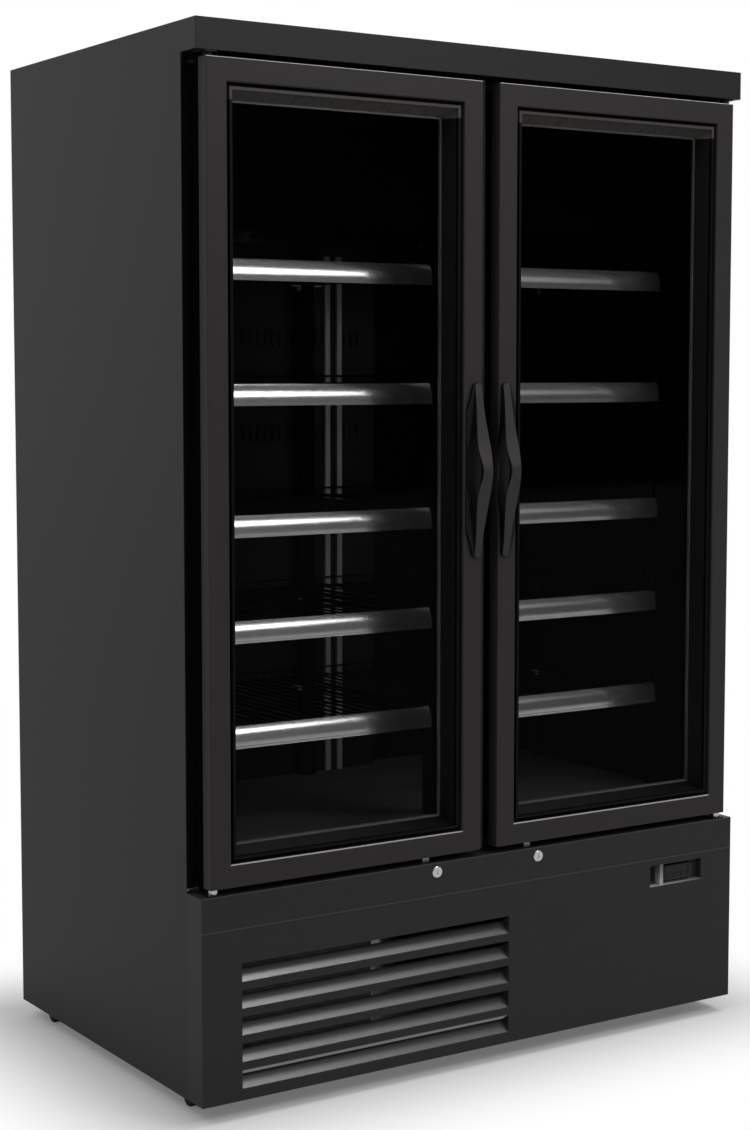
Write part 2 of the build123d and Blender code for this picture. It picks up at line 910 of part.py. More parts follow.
# Locks. The plug turns in a fixed barrel, and its cam pin lifts a flat bolt that
# stands to the left of it, through the base strip's top into the door.
with BuildPart() as lock_barrels:
    for side in sides.values():
        x = side * lock_offset
        rod((x, front_y - lock_rim, lock_z), (0, 1, 0), lock_radius, lock_rim)
        rod((x, front_y, lock_z), (0, 1, 0), lock_body_radius - seat_gap, lock_body_length)
        rod(
            (x, front_y - lock_rim, lock_z),
            (0, 1, 0),
            plug_radius + running_fit,
            lock_rim + lock_body_length,
            Mode.SUBTRACT,
        )
    chamfer(
        lock_barrels.faces().group_by(Axis.Y)[0].edges().filter_by(
            lambda edge: edge.length > 2 * math.pi * lock_body_radius
        ),
        lock_rim / 2,
    )
save(lock_barrels, "lock_barrels")

cam_start = math.radians(cam_start_angle)


def lock_plug(name, side):
    """Plug with a key slot, and a cam arm with a pin behind it."""
    x = side * lock_offset
    with BuildPart() as plug:
        back = front_y + skin + lock_body_length + seat_gap
        length = back - front_y + lock_rim
        rod((x, front_y - lock_rim, lock_z), (0, 1, 0), plug_radius, length)
        block(
            (x - key_slot_width / 2, front_y - lock_rim, lock_z - key_slot_length / 2),
            (x + key_slot_width / 2, front_y + lock_rim, lock_z + key_slot_length / 2),
            Mode.SUBTRACT,
        )
        pin_offset = (-cam_throw * math.cos(cam_start), cam_throw * math.sin(cam_start))
        with BuildSketch(facing(back, x, lock_z)) as arm:
            with Locations((0, 0)):
                Circle(plug_radius)
            with Locations(pin_offset):
                Circle(cam_pin_radius + cam_rim)
            make_hull()
        extrude(arm.sketch, amount=-(cam_thick - seat_gap))
        rod(
            (x + pin_offset[0], back + cam_thick - seat_gap, lock_z + pin_offset[1]),
            (0, 1, 0),
            cam_pin_radius,
            bolt_thick + seat_gap,
        )
    save(plug, f"lock_plug_{name}")


def lock_bolt(name, side):
    """Flat bolt with a crossways slot that the cam pin drives."""
    x = bolt_x[name]
    top = base_top_z + bolt_rise
    cross_z = lock_z + cam_throw * math.sin(cam_start)
    with BuildPart() as bolt:
        low = cross_z - bolt_ear
        block(
            (x - bolt_width / 2, bolt_y, low),
            (x + bolt_width / 2, bolt_y + bolt_thick, top),
        )
        reach = side * lock_offset - cam_throw * math.cos(cam_start)
        near = side * lock_offset - cam_throw - cam_pin_radius - cam_rim
        block(
            (x - bolt_width / 2, bolt_y, low),
            (reach + bolt_ear, bolt_y + bolt_thick, cross_z + bolt_ear),
        )
        half = cam_pin_radius + cam_slot_clearance
        with BuildSketch(facing(bolt_y, (near + reach) / 2, cross_z)) as slot:
            SlotOverall(abs(reach - near) + 2 * cam_slot_end, 2 * half)
        extrude(slot.sketch, amount=-bolt_thick, mode=Mode.SUBTRACT)
        tip_edges = bolt.edges().filter_by(Axis.Y).group_by(Axis.Z)[-1]
        chamfer(tip_edges, bolt_thick / 2)
    save(bolt, f"lock_bolt_{name}")


for lock_name, lock_side in sides.items():
    lock_plug(lock_name, lock_side)
    lock_bolt(lock_name, lock_side)


# Shelf standards: channels on the side walls and two posts on the centre line, all
# with a row of slots for the clips
wall_rows = (front_y + wall_standard_front, front_y + wall_standard_rear)
post_rows = (front_y + post_front, front_y + post_rear)
shelf_in_x = shelf_centre_gap
shelf_out_x = cavity_x - shelf_wall_gap
slot_low = shelf_levels[0] - 2 * slot_pitch
slot_total = int((shelf_levels[-1] - slot_low) / slot_pitch) + 2


def slots(plane):
    """The row of slots up a standard's face."""
    with BuildSketch(plane) as row:
        with GridLocations(0, slot_pitch, 1, slot_total):
            Rectangle(slot_width, slot_height)
    extrude(row.sketch, amount=-slot_depth, mode=Mode.SUBTRACT)


slot_mid = slot_low + (slot_total - 1) * slot_pitch / 2


def wall_standard(y):
    """A channel that stands on the right-hand wall and faces into the cabinet."""
    inner = cavity_x - standard_depth
    with BuildPart() as standard:
        block(
            (inner, y - standard_width / 2, cavity_z),
            (cavity_x, y + standard_width / 2, cavity_top),
        )
        slots(Plane(origin=(inner, y, slot_mid), x_dir=(0, 1, 0), z_dir=(-1, 0, 0)))
    return standard.part


def centre_post(y, high):
    """A post on the centre line, from the liner's floor up to a given height."""
    with BuildPart() as post:
        block((-post_width / 2, y, cavity_z), (post_width / 2, y + post_depth, high))
        slots(facing(y, 0, slot_mid))
    return post.part


right_standards = [wall_standard(y) for y in wall_rows]
left_standards = [standard.mirror(Plane.YZ) for standard in right_standards]
posts = [centre_post(y, high) for y, high in zip(post_rows, (cavity_top, hood_low))]
save_group("shelf_standards", right_standards + left_standards + posts)

# Clips: an L under each shelf corner, hooked on a standard
def clip(reach, y, inward):
    """One clip whose upright leg lies on a standard at a given place."""
    length = clip_width if inward < 0 else shelf_in_x + clip_width - reach
    low_x, high_x = sorted((reach, reach + inward * length))
    leg_low, leg_high = sorted((reach, reach + inward * clip_thick))
    with BuildPart() as piece:
        block((low_x, y - clip_width / 2, -clip_thick), (high_x, y + clip_width / 2, 0))
        block(
            (leg_low, y - clip_width / 2, -clip_height),
            (leg_high, y + clip_width / 2, -clip_thick),
        )
    return piece.part


clip_set = [clip(cavity_x - standard_depth, y, -1) for y in wall_rows]
clip_set += [clip(post_width / 2, y + post_depth / 2, 1) for y in post_rows]
right_clips = [
    piece.moved(Location((0, 0, level - 2 * wire - shelf_drop)))
    for level in shelf_levels
    for piece in clip_set
]
save_group("shelf_clips", right_clips + [piece.mirror(Plane.YZ) for piece in right_clips])

# Wire shelves: long wires welded on cross bars, a side bar down each side and a
# raised bar along the rear. Made once and repeated at each level.
shelf_start = front_y + shelf_front + rail_set_back + rail_thick
shelf_end = front_y + shelf_front + shelf_depth
wire_run = (shelf_out_x - shelf_in_x - wire) / (shelf_wires - 1)
bar_run = (shelf_end - shelf_start - wire) / (shelf_bars - 1)
shelf_mid_x = (shelf_in_x + shelf_out_x) / 2
shelf_mid_y = (shelf_start + shelf_end) / 2
with BuildPart() as long_wires:
    with BuildSketch(facing(shelf_start, shelf_mid_x, -wire / 2)) as section:
        with GridLocations(wire_run, 0, shelf_wires, 1):
            Rectangle(wire, wire)
    extrude(amount=shelf_start - shelf_end)
across_shelf = Plane(
    origin=(shelf_in_x, shelf_mid_y, -wire - wire / 2),
    x_dir=(0, 1, 0),
    z_dir=(1, 0, 0),
)
with BuildPart() as cross_bars:
    with BuildSketch(across_shelf) as section:
        with GridLocations(bar_run, 0, shelf_bars, 1):
            Rectangle(wire, wire)
    extrude(amount=shelf_out_x - shelf_in_x)
with BuildPart() as side_bars:
    for x in (shelf_in_x, shelf_out_x - wire):
        block((x, shelf_start, -2 * wire - shelf_drop), (x + wire, shelf_end, -2 * wire))
with BuildPart() as rear_stop:
    block((shelf_in_x, shelf_end - wire, 0), (shelf_out_x, shelf_end, shelf_stop))
shelf_pieces = long_wires.part.solids() + cross_bars.part.solids()
shelf_pieces += side_bars.part.solids() + rear_stop.part.solids()
right_shelves = [
    piece.moved(Location((0, 0, level))) for level in shelf_levels for piece in shelf_pieces
]
save_group("shelves", right_shelves + [piece.mirror(Plane.YZ) for piece in right_shelves])

# Price rails: one curved strip along the front of each shelf
rail_y = front_y + shelf_front
with BuildPart() as price_rail:
    from_left = Plane(origin=(shelf_in_x, rail_y, 0), x_dir=(0, 1, 0), z_dir=(1, 0, 0))
    with BuildSketch(from_left) as rail:
        with BuildLine():
            middle = -rail_height / 2
            front_arc = TangentArc((0, middle), (rail_set_back, 0), tangent=(0, 1))
            back_arc = TangentArc(
                (rail_thick, middle), (rail_set_back + rail_thick, 0), tangent=(0, 1)
            )
            Line(front_arc @ 1, back_arc @ 1)
            Polyline(
                back_arc @ 0,
                (rail_thick, -rail_height),
                (-rail_lip, -rail_height),
                (-rail_lip, -rail_height + rail_lip),
                (rail_groove, -rail_height + rail_lip),
                (rail_groove, -rail_height + 2 * rail_lip),
                (0, -rail_height + 2 * rail_lip),
                front_arc @ 0,
            )
        make_face()
    extrude(amount=shelf_out_x - shelf_in_x)
right_rails = [price_rail.part.moved(Location((0, 0, level))) for level in shelf_levels]
save_group("price_rails", right_rails + [rail.mirror(Plane.YZ) for rail in right_rails])

# Rear duct cover: a folded panel with two rows of air slots, and a narrow raised
# channel up its right half
duct_low = cavity_z
duct_high = hood_low + duct_overlap
duct_y = front_y + duct_front
with BuildPart() as duct_cover:
    block((-duct_half_width, duct_y, duct_low), (duct_half_width, cavity_back, duct_high))
    block(
        (-duct_half_width + duct_skin, duct_y + duct_skin, duct_low),
        (duct_half_width - duct_skin, cavity_back, duct_high),
        Mode.SUBTRACT,
    )
    slot_columns = int(2 * (duct_half_width - 2 * air_slot_pitch) / air_slot_pitch)
    for drop in air_row_drops:
        with BuildSketch(facing(duct_y, 0, hood_low - drop)) as band:
            with GridLocations(air_slot_pitch, 0, slot_columns, 1):
                Rectangle(air_slot_width, air_slot_height)
        extrude(amount=-duct_skin, mode=Mode.SUBTRACT)
    for left in (channel_left, channel_right - channel_edge):
        block(
            (left, duct_y - channel_depth, duct_low),
            (left + channel_edge, duct_y, hood_low - channel_drop),
        )
save(duct_cover, "duct_cover")

# Evaporator hood under the roof: front and bottom panels, with two fan openings
hood_y = front_y + hood_front
hood_x = cavity_x - standard_depth - seat_gap
fan_mid_y = (hood_y + duct_y) / 2
with BuildPart() as evaporator_hood:
    from_left = Plane(origin=(-hood_x, 0, 0), x_dir=(0, 1, 0), z_dir=(1, 0, 0))
    with BuildSketch(from_left) as side_view:
        Polygon(
            (hood_y + hood_slope, cavity_top),
            (hood_y, hood_low + hood_slope),
            (hood_y, hood_low),
            (duct_y - seat_gap, hood_low),
            (duct_y - seat_gap, hood_low + hood_skin),
            (hood_y + hood_skin, hood_low + hood_skin),
            (hood_y + hood_skin, hood_low + hood_slope - hood_skin),
            (hood_y + hood_slope + hood_skin, cavity_top),
            align=None,
        )
    extrude(amount=2 * hood_x)
    for side in sides.values():
        rod(
            (side * evap_fan_offset, fan_mid_y, hood_low),
            (0, 0, 1),
            evap_fan_radius + fan_tip_clearance,
            hood_skin,
            Mode.SUBTRACT,
        )
        for stay in (-1, 1):
            stay_y = fan_mid_y + stay * motor_arm
            block(
                (
                    side * evap_fan_offset - evap_fan_radius - 2 * fan_tip_clearance,
                    stay_y - hood_skin,
                    hood_low + hood_skin,
                ),
                (
                    side * evap_fan_offset + evap_fan_radius + 2 * fan_tip_clearance,
                    stay_y + hood_skin,
                    hood_low + 2 * hood_skin,
                ),
            )
save(evaporator_hood, "evaporator_hood")


# Finned coils: a pack of fins between two end plates, with return bends outside
def coil(low, high, rows, bend_pitch):
    """A coil between two corners, with its tubes along X and bends at both ends."""
    mid_y = (low[1] + high[1]) / 2
    with BuildPart() as pack:
        inset = bend_pitch / 2 + tube_radius
        block((low[0] + inset, low[1], low[2]), (high[0] - inset, high[1], high[2]))
        for end, turn in ((low[0] + inset, -1), (high[0] - inset, 1)):
            first = 0 if turn > 0 else 1
            for row in range(first, rows - 1, 2):
                z = low[2] + bend_pitch * (row + 1)
                bend_plane = Plane(
                    origin=(end, mid_y, z + bend_pitch / 2),
                    x_dir=(turn, 0, 0),
                    z_dir=(0, -turn, 0),
                )
                with BuildLine(bend_plane) as path:
                    CenterArc((0, 0), bend_pitch / 2, -90, 180)
                with BuildSketch(Plane(origin=path.line @ 0, z_dir=path.line % 0)) as tube:
                    Circle(tube_radius)
                sweep(tube.sketch, path=path.line)
    return pack


coil_y = duct_y - evaporator_depth - 2 * seat_gap
coil_low = (-evaporator_width / 2, coil_y, cavity_top - evaporator_height)
coil_high = (evaporator_width / 2, coil_y + evaporator_depth, cavity_top)
evap_pitch = evaporator_height / (evap_tube_rows + 1)
evaporator = coil(coil_low, coil_high, evap_tube_rows, evap_pitch)
save(evaporator, "evaporator")

tray_top = tray_z + tray_skin
condenser_front = face_y + condenser_gap
condenser_low = (condenser_left, condenser_front, tray_top)
condenser_high = (
    condenser_left + condenser_width,
    condenser_front + condenser_depth,
    tray_top + condenser_height,
)
tube_pitch = condenser_height / (tube_rows + 1)
condenser = coil(condenser_low, condenser_high, tube_rows, tube_pitch)
save(condenser, "condenser")


def fan(hub, axis, radius):
    """A fan wheel: a hub with a bore and twisted blades, blowing along an axis."""
    start = Plane(origin=hub, z_dir=axis)
    with BuildPart() as wheel:
        with BuildSketch(start) as body:
            Circle(fan_hub_radius)
        extrude(amount=fan_hub_length)
        mid = start.offset(fan_hub_length / 2)
        root = (fan_hub_radius - fan_blade_sink, fan_root_chord, math.radians(fan_root_lean))
        tip = (radius, fan_tip_chord * radius, math.radians(fan_tip_lean))
        for count in range(fan_blades):
            angle = count * 2 * math.pi / fan_blades
            radial = mid.x_dir * math.cos(angle) + mid.y_dir * math.sin(angle)
            tangent = mid.y_dir * math.cos(angle) - mid.x_dir * math.sin(angle)
            ends = []
            for reach, chord, lean in (root, tip):
                section = Plane(
                    origin=mid.origin + radial * reach,
                    x_dir=tangent * math.cos(lean) + mid.z_dir * math.sin(lean),
                    z_dir=radial,
                )
                with BuildSketch(section) as blade:
                    Rectangle(chord, fan_blade_thick)
                ends.append(blade.sketch.face())
            loft(ends)
        with BuildSketch(start) as bore:
            Circle(shaft_radius + running_fit)
        extrude(amount=fan_hub_length, mode=Mode.SUBTRACT)
    return wheel


def motor(face, axis):
    """A fan motor with rounded ends and the shaft that carries a fan wheel."""
    start = Plane(origin=face, z_dir=axis)
    with BuildPart() as can:
        with BuildSketch(start.offset(-motor_length)) as body:
            Circle(motor_radius)
        extrude(amount=motor_length)
        fillet(can.edges().filter_by(GeomType.CIRCLE), motor_round)
        with BuildSketch(start) as shaft:
            Circle(shaft_radius)
        extrude(amount=fan_gap + fan_hub_length)
    return can.part


evap_motor_z = hood_low + 2 * hood_skin
evap_hubs = {
    name: (side * evap_fan_offset, fan_mid_y, evap_motor_z) for name, side in sides.items()
}
shroud_y = condenser_high[1] + seat_gap
fan_x = (condenser_low[0] + condenser_high[0]) / 2
fan_z = tray_top + condenser_height / 2
cond_motor_y = shroud_y + shroud_depth + shroud_skin
motors = [motor((x, y, z), (0, 0, -1)) for x, y, z in evap_hubs.values()]
motors.append(motor((fan_x, cond_motor_y, fan_z), (0, -1, 0)))
save_group("fan_motors", motors)

for name, (x, y, z) in evap_hubs.items():
    wheel = fan((x, y, z - fan_gap), (0, 0, -1), evap_fan_radius)
    save(wheel, f"evaporator_fan_{name}")
condenser_fan = fan((fan_x, cond_motor_y - fan_gap, fan_z), (0, -1, 0), fan_radius)
save(condenser_fan, "condenser_fan")

# Fan shroud: a square duct behind the condenser, with a ring and three stays
with BuildPart() as fan_shroud:
    low_x = condenser_low[0] + tube_pitch
    high_x = condenser_high[0] - tube_pitch
    block(
        (low_x, shroud_y, tray_top),
        (high_x, shroud_y + shroud_depth, tray_top + condenser_height),
    )
    block(
        (low_x + shroud_skin, shroud_y, tray_top + shroud_skin),
        (
            high_x - shroud_skin,
            shroud_y + shroud_depth - shroud_skin,
            tray_top + condenser_height - shroud_skin,
        ),
        Mode.SUBTRACT,
    )
    rod(
        (fan_x, shroud_y + shroud_depth - shroud_skin, fan_z),
        (0, 1, 0),
        fan_radius + fan_tip_clearance,
        shroud_skin,
        Mode.SUBTRACT,
    )
    for level in (-motor_arm, motor_arm):
        block(
            (low_x, shroud_y + shroud_depth, fan_z + level - shroud_skin),
            (high_x, shroud_y + shroud_depth + shroud_skin, fan_z + level + shroud_skin),
        )
save(fan_shroud, "fan_shroud")

# Compressor: a welded can with a domed top, on a plate with four feet
with BuildPart() as compressor:
    centre = Plane(origin=(compressor_x, front_y + compressor_y, tray_top))
    with BuildSketch(Plane(centre.origin, x_dir=(1, 0, 0), z_dir=(0, -1, 0))) as half_can:
        with BuildLine():
            dome = compressor_radius / 2
            wall = compressor_height - dome
            Polyline(
                (0, compressor_foot),
                (compressor_radius - dome / 2, compressor_foot),
                (compressor_radius, compressor_foot + dome / 2),
                (compressor_radius, wall),
            )
            Spline(
                (compressor_radius, wall),
                (0, compressor_height),
                tangents=((0, 1), (-1, 0)),
            )
            Line((0, compressor_height), (0, compressor_foot))
        make_face()
    revolve(axis=Axis(centre.origin, (0, 0, 1)))
    with BuildSketch(centre.offset(compressor_foot - compressor_plate)) as foot:
        RectangleRounded(compressor_base_length, compressor_base_width, compressor_foot)
    extrude(amount=compressor_plate)
    with BuildSketch(centre) as feet:
        with GridLocations(compressor_feet_length, compressor_feet_width, 2, 2):
            Circle(compressor_foot)
    extrude(amount=compressor_foot)
save(compressor, "compressor")

# Rear machine cover with a stack of air slots
with BuildPart() as rear_cover:
    block((-side_x + skin, back_y - skin, floor_z), (side_x - skin, back_y, machine_top))
    with BuildSketch(facing(back_y, 0, (floor_z + machine_top) / 2)) as vents:
        with GridLocations(vent_width + 2 * vent_pitch, vent_pitch, 2, vent_count):
            SlotOverall(vent_width, vent_height)
    extrude(amount=skin, mode=Mode.SUBTRACT)
save(rear_cover, "rear_cover")

# Drip tray that catches the defrost water, on the chassis
with BuildPart() as drip_tray:
    tray_x = side_x - drip_tray_side_gap - drip_tray_width
    low = (tray_x, front_y + compressor_y - drip_tray_depth / 2, tray_top)
    high = (tray_x + drip_tray_width, low[1] + drip_tray_depth, tray_top + drip_tray_height)
    block(low, high)
    fillet(drip_tray.edges().filter_by(Axis.Z), fold / 2)
    top = drip_tray.faces().sort_by(Axis.Z)[-1]
    offset(amount=-drip_tray_wall, openings=top)
save(drip_tray, "drip_tray")

# Chassis: the tray that the machine room stands on, with a lip at each side
with BuildPart() as chassis:
    inner_x = side_x - skin
    block((-inner_x, face_y + skin, tray_z), (inner_x, back_y - skin, tray_z + tray_lip))
    block(
        (-inner_x + tray_skin, face_y + skin + tray_skin, tray_top),
        (inner_x - tray_skin, back_y - skin - tray_skin, tray_z + tray_lip),
        Mode.SUBTRACT,
    )

# Castors. A plate under the chassis carries a fork that swivels, and a wheel turns
# on the axle in the fork, with a brake pedal behind.
plate_low = tray_z - castor_plate_thick
castor_x = side_x - castor_inset
castor_spots = {
    "front_left": (-castor_x, front_y + castor_front),
    "front_right": (castor_x, front_y + castor_front),
    "rear_left": (-castor_x, front_y + castor_rear),
    "rear_right": (castor_x, front_y + castor_rear),
}


def castor_mount(x, y):
    """Top plate with the swivel race, and the pin and washer that hold the fork."""
    with BuildPart() as plate:
        block(
            (x - castor_plate / 2, y - castor_plate / 2, plate_low),
            (x + castor_plate / 2, y + castor_plate / 2, tray_z),
        )
        fillet(plate.edges().filter_by(Axis.Z), castor_plate_thick)
        down = (0, 0, -1)
        rod((x, y, plate_low), down, swivel_radius - fork_wall, plate_low - fork_top - seat_gap)
        washer_z = fork_top - fork_wall - seat_gap
        rod((x, y, plate_low), down, swivel_pin_radius, plate_low - washer_z)
        rod((x, y, washer_z), down, swivel_pin_radius + fork_wall, fork_wall)
    return plate.part


castor_plates = [castor_mount(x, y) for x, y in castor_spots.values()]
save_group("chassis", [chassis.part] + castor_plates)


def castor_plane(x, y):
    """A castor's own plane on the floor, with X from the swivel pin to the wheel."""
    turn = math.radians(castor_turn)
    out = math.copysign(math.sin(turn), x)
    return Plane(origin=(x, y, 0), x_dir=(out, -math.cos(turn), 0), z_dir=(0, 0, 1))


def upright(plane, across):
    """The plane of a castor's side view, at a place along its axle."""
    origin = plane.from_local_coords((0, across, 0))
    return Plane(origin=origin, x_dir=plane.x_dir, z_dir=-plane.y_dir)


fork_inner = wheel_width / 2 + fork_gap
fork_outer = fork_inner + fork_wall
pedal_pin = (-pedal_reach, pedal_pin_height)


def castor_fork(name, x, y):
    """Fork with a round crown, two cheeks and the axle, which trails the pin."""
    plane = castor_plane(x, y)
    eye = 2 * axle_radius
    with BuildPart() as fork:
        with BuildSketch(plane.offset(fork_top - fork_wall)) as crown:
            Circle(swivel_radius)
        extrude(amount=fork_wall)
        for near in (-fork_inner, fork_outer):
            with BuildSketch(upright(plane, near)) as side_view:
                with Locations((castor_trail, axle_height)):
                    Circle(eye)
                with Locations((0, fork_top - fork_wall / 2)):
                    Rectangle(fork_neck, fork_wall)
                with Locations(pedal_pin):
                    Circle(2 * pedal_pin_radius)
                make_hull()
            extrude(side_view.sketch, amount=fork_wall)
        along = tuple(plane.y_dir)
        axle_start = plane.from_local_coords((castor_trail, -fork_outer, axle_height))
        rod(axle_start, along, axle_radius, 2 * fork_outer)
        rod(
            (x, y, fork_top - fork_wall),
            (0, 0, 1),
            swivel_pin_radius + running_fit,
            fork_wall,
            Mode.SUBTRACT,
        )
        pin_start = plane.from_local_coords((pedal_pin[0], -fork_outer, pedal_pin[1]))
        rod(pin_start, along, pedal_pin_radius, 2 * fork_outer)
    save(fork, f"castor_fork_{name}")


def castor_wheel(name, x, y):
    """Wheel with a rounded tread, a sunk face each side and a bored hub."""
    plane = castor_plane(x, y)
    along = tuple(plane.y_dir)
    start = plane.from_local_coords((castor_trail, -wheel_width / 2, axle_height))
    with BuildPart() as wheel:
        rod(start, along, wheel_radius, wheel_width)
        fillet(wheel.edges().filter_by(GeomType.CIRCLE), wheel_round)
        rod(start, along, axle_radius + running_fit, wheel_width, Mode.SUBTRACT)
    save(wheel, f"castor_wheel_{name}")


def castor_pedal(name, x, y):
    """Brake pedal that tips on its pin, with a toe plate behind the fork."""
    plane = castor_plane(x, y)
    half = fork_inner - seat_gap
    with BuildPart() as pedal:
        with BuildSketch(upright(plane, half)) as side_view:
            with Locations(pedal_pin):
                Circle(pedal_pin_radius + fork_wall)
            with Locations((pedal_pin[0] - pedal_length, pedal_pin[1] - pedal_drop)):
                Circle(pedal_thick / 2)
            make_hull()
        extrude(amount=2 * half)
        with BuildSketch(upright(plane, pedal_width / 2)) as toe:
            with Locations((pedal_pin[0] - pedal_length, pedal_pin[1] - pedal_drop)):
                SlotOverall(pedal_toe, pedal_thick)
        extrude(amount=pedal_width)
        bore_start = plane.from_local_coords((pedal_pin[0], -fork_inner, pedal_pin[1]))
        rod(
            bore_start,
            tuple(plane.y_dir),
            pedal_pin_radius + running_fit,
            2 * fork_inner,
            Mode.SUBTRACT,
        )
    save(pedal, f"castor_pedal_{name}")


for castor_name, (castor_at_x, castor_at_y) in castor_spots.items():
    castor_fork(castor_name, castor_at_x, castor_at_y)
    castor_wheel(castor_name, castor_at_x, castor_at_y)
    castor_pedal(castor_name, castor_at_x, castor_at_y)
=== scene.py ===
# %% [markdown]
# # An upright display freezer
# The real object is a tall steel cabinet with two glass doors, wire shelves behind them
# and a louvred base that hides the cold unit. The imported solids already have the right
# shapes, so this lesson dresses them: it sets the camera, writes a finish for each
# material, makes the thin and round pieces that plain solids only hint at, and lights
# the whole as a product studio would.

import json
import math

import bpy
import numpy as np
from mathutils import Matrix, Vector


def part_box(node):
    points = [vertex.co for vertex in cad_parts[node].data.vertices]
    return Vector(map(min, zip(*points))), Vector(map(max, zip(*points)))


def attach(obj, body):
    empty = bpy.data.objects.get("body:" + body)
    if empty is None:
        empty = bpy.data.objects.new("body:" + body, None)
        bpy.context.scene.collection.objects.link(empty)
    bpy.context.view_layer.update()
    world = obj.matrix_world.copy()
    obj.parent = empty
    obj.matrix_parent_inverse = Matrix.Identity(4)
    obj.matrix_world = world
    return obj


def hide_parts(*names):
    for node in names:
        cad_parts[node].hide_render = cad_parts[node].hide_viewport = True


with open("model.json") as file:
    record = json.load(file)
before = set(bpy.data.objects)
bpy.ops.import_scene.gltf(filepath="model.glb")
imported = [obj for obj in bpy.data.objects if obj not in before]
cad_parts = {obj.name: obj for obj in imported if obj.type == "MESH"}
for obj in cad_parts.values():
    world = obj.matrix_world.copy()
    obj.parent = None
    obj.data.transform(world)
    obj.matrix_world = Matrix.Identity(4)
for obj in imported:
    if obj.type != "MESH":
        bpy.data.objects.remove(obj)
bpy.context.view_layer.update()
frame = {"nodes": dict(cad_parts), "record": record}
nodes = frame["nodes"]

# %% [markdown]
# ## The camera
# A photograph of a box gives its own camera away: the edges along the width, the depth
# and the height run to three vanishing points, and those give the focal length and the
# angles. The picture was taken from the left, a little above the middle of the doors,
# so the upright edges stay nearly parallel. The small shift stands for the crop.

# %% Camera
photo_width, photo_height = 750, 1130
focal_length = 2087.2
picture_centre = (373.9, 543.2)
camera_place = (-2.3435, -3.5479, 1.3381)
camera_turn = math.radians(-33.21)
camera_drop = math.radians(4.72)
sensor = 36.0

lens = bpy.data.cameras.new("camera")
lens.sensor_width = sensor
lens.lens = sensor * focal_length / photo_height
lens.shift_x = (photo_width / 2 - picture_centre[0]) / photo_height
lens.shift_y = (picture_centre[1] - photo_height / 2) / photo_height
camera = bpy.data.objects.new("camera", lens)
camera.location = camera_place
camera.rotation_euler = (math.pi / 2 - camera_drop, 0, camera_turn)
bpy.context.scene.collection.objects.link(camera)
bpy.context.scene.camera = camera
bpy.context.scene.view_settings.view_transform = "Standard"
bpy.context.scene.cycles.transparent_max_bounces = 16
print("lens:", round(lens.lens, 2), "mm")

# %% [markdown]
# ## Shader sums written as Python
# A material is a net of nodes. Drawn by hand it is quick to read but slow to change, so
# here one small class wraps a socket: `2 * noise - 1` adds the Math nodes by itself.
# Every other node comes from `add`, which takes its type, its settings and its inputs.

# %% Sockets and finishes
class Wire:
    """One output of a shader node; sums on it add Math nodes."""

    def __init__(self, finish, output):
        self.finish, self.output = finish, output

    def __add__(self, other):
        return self.finish.maths("ADD", self, other)

    def __radd__(self, other):
        return self.finish.maths("ADD", other, self)

    def __sub__(self, other):
        return self.finish.maths("SUBTRACT", self, other)

    def __rsub__(self, other):
        return self.finish.maths("SUBTRACT", other, self)

    def __mul__(self, other):
        return self.finish.maths("MULTIPLY", self, other)

    def __rmul__(self, other):
        return self.finish.maths("MULTIPLY", other, self)

    def __truediv__(self, other):
        return self.finish.maths("DIVIDE", self, other)


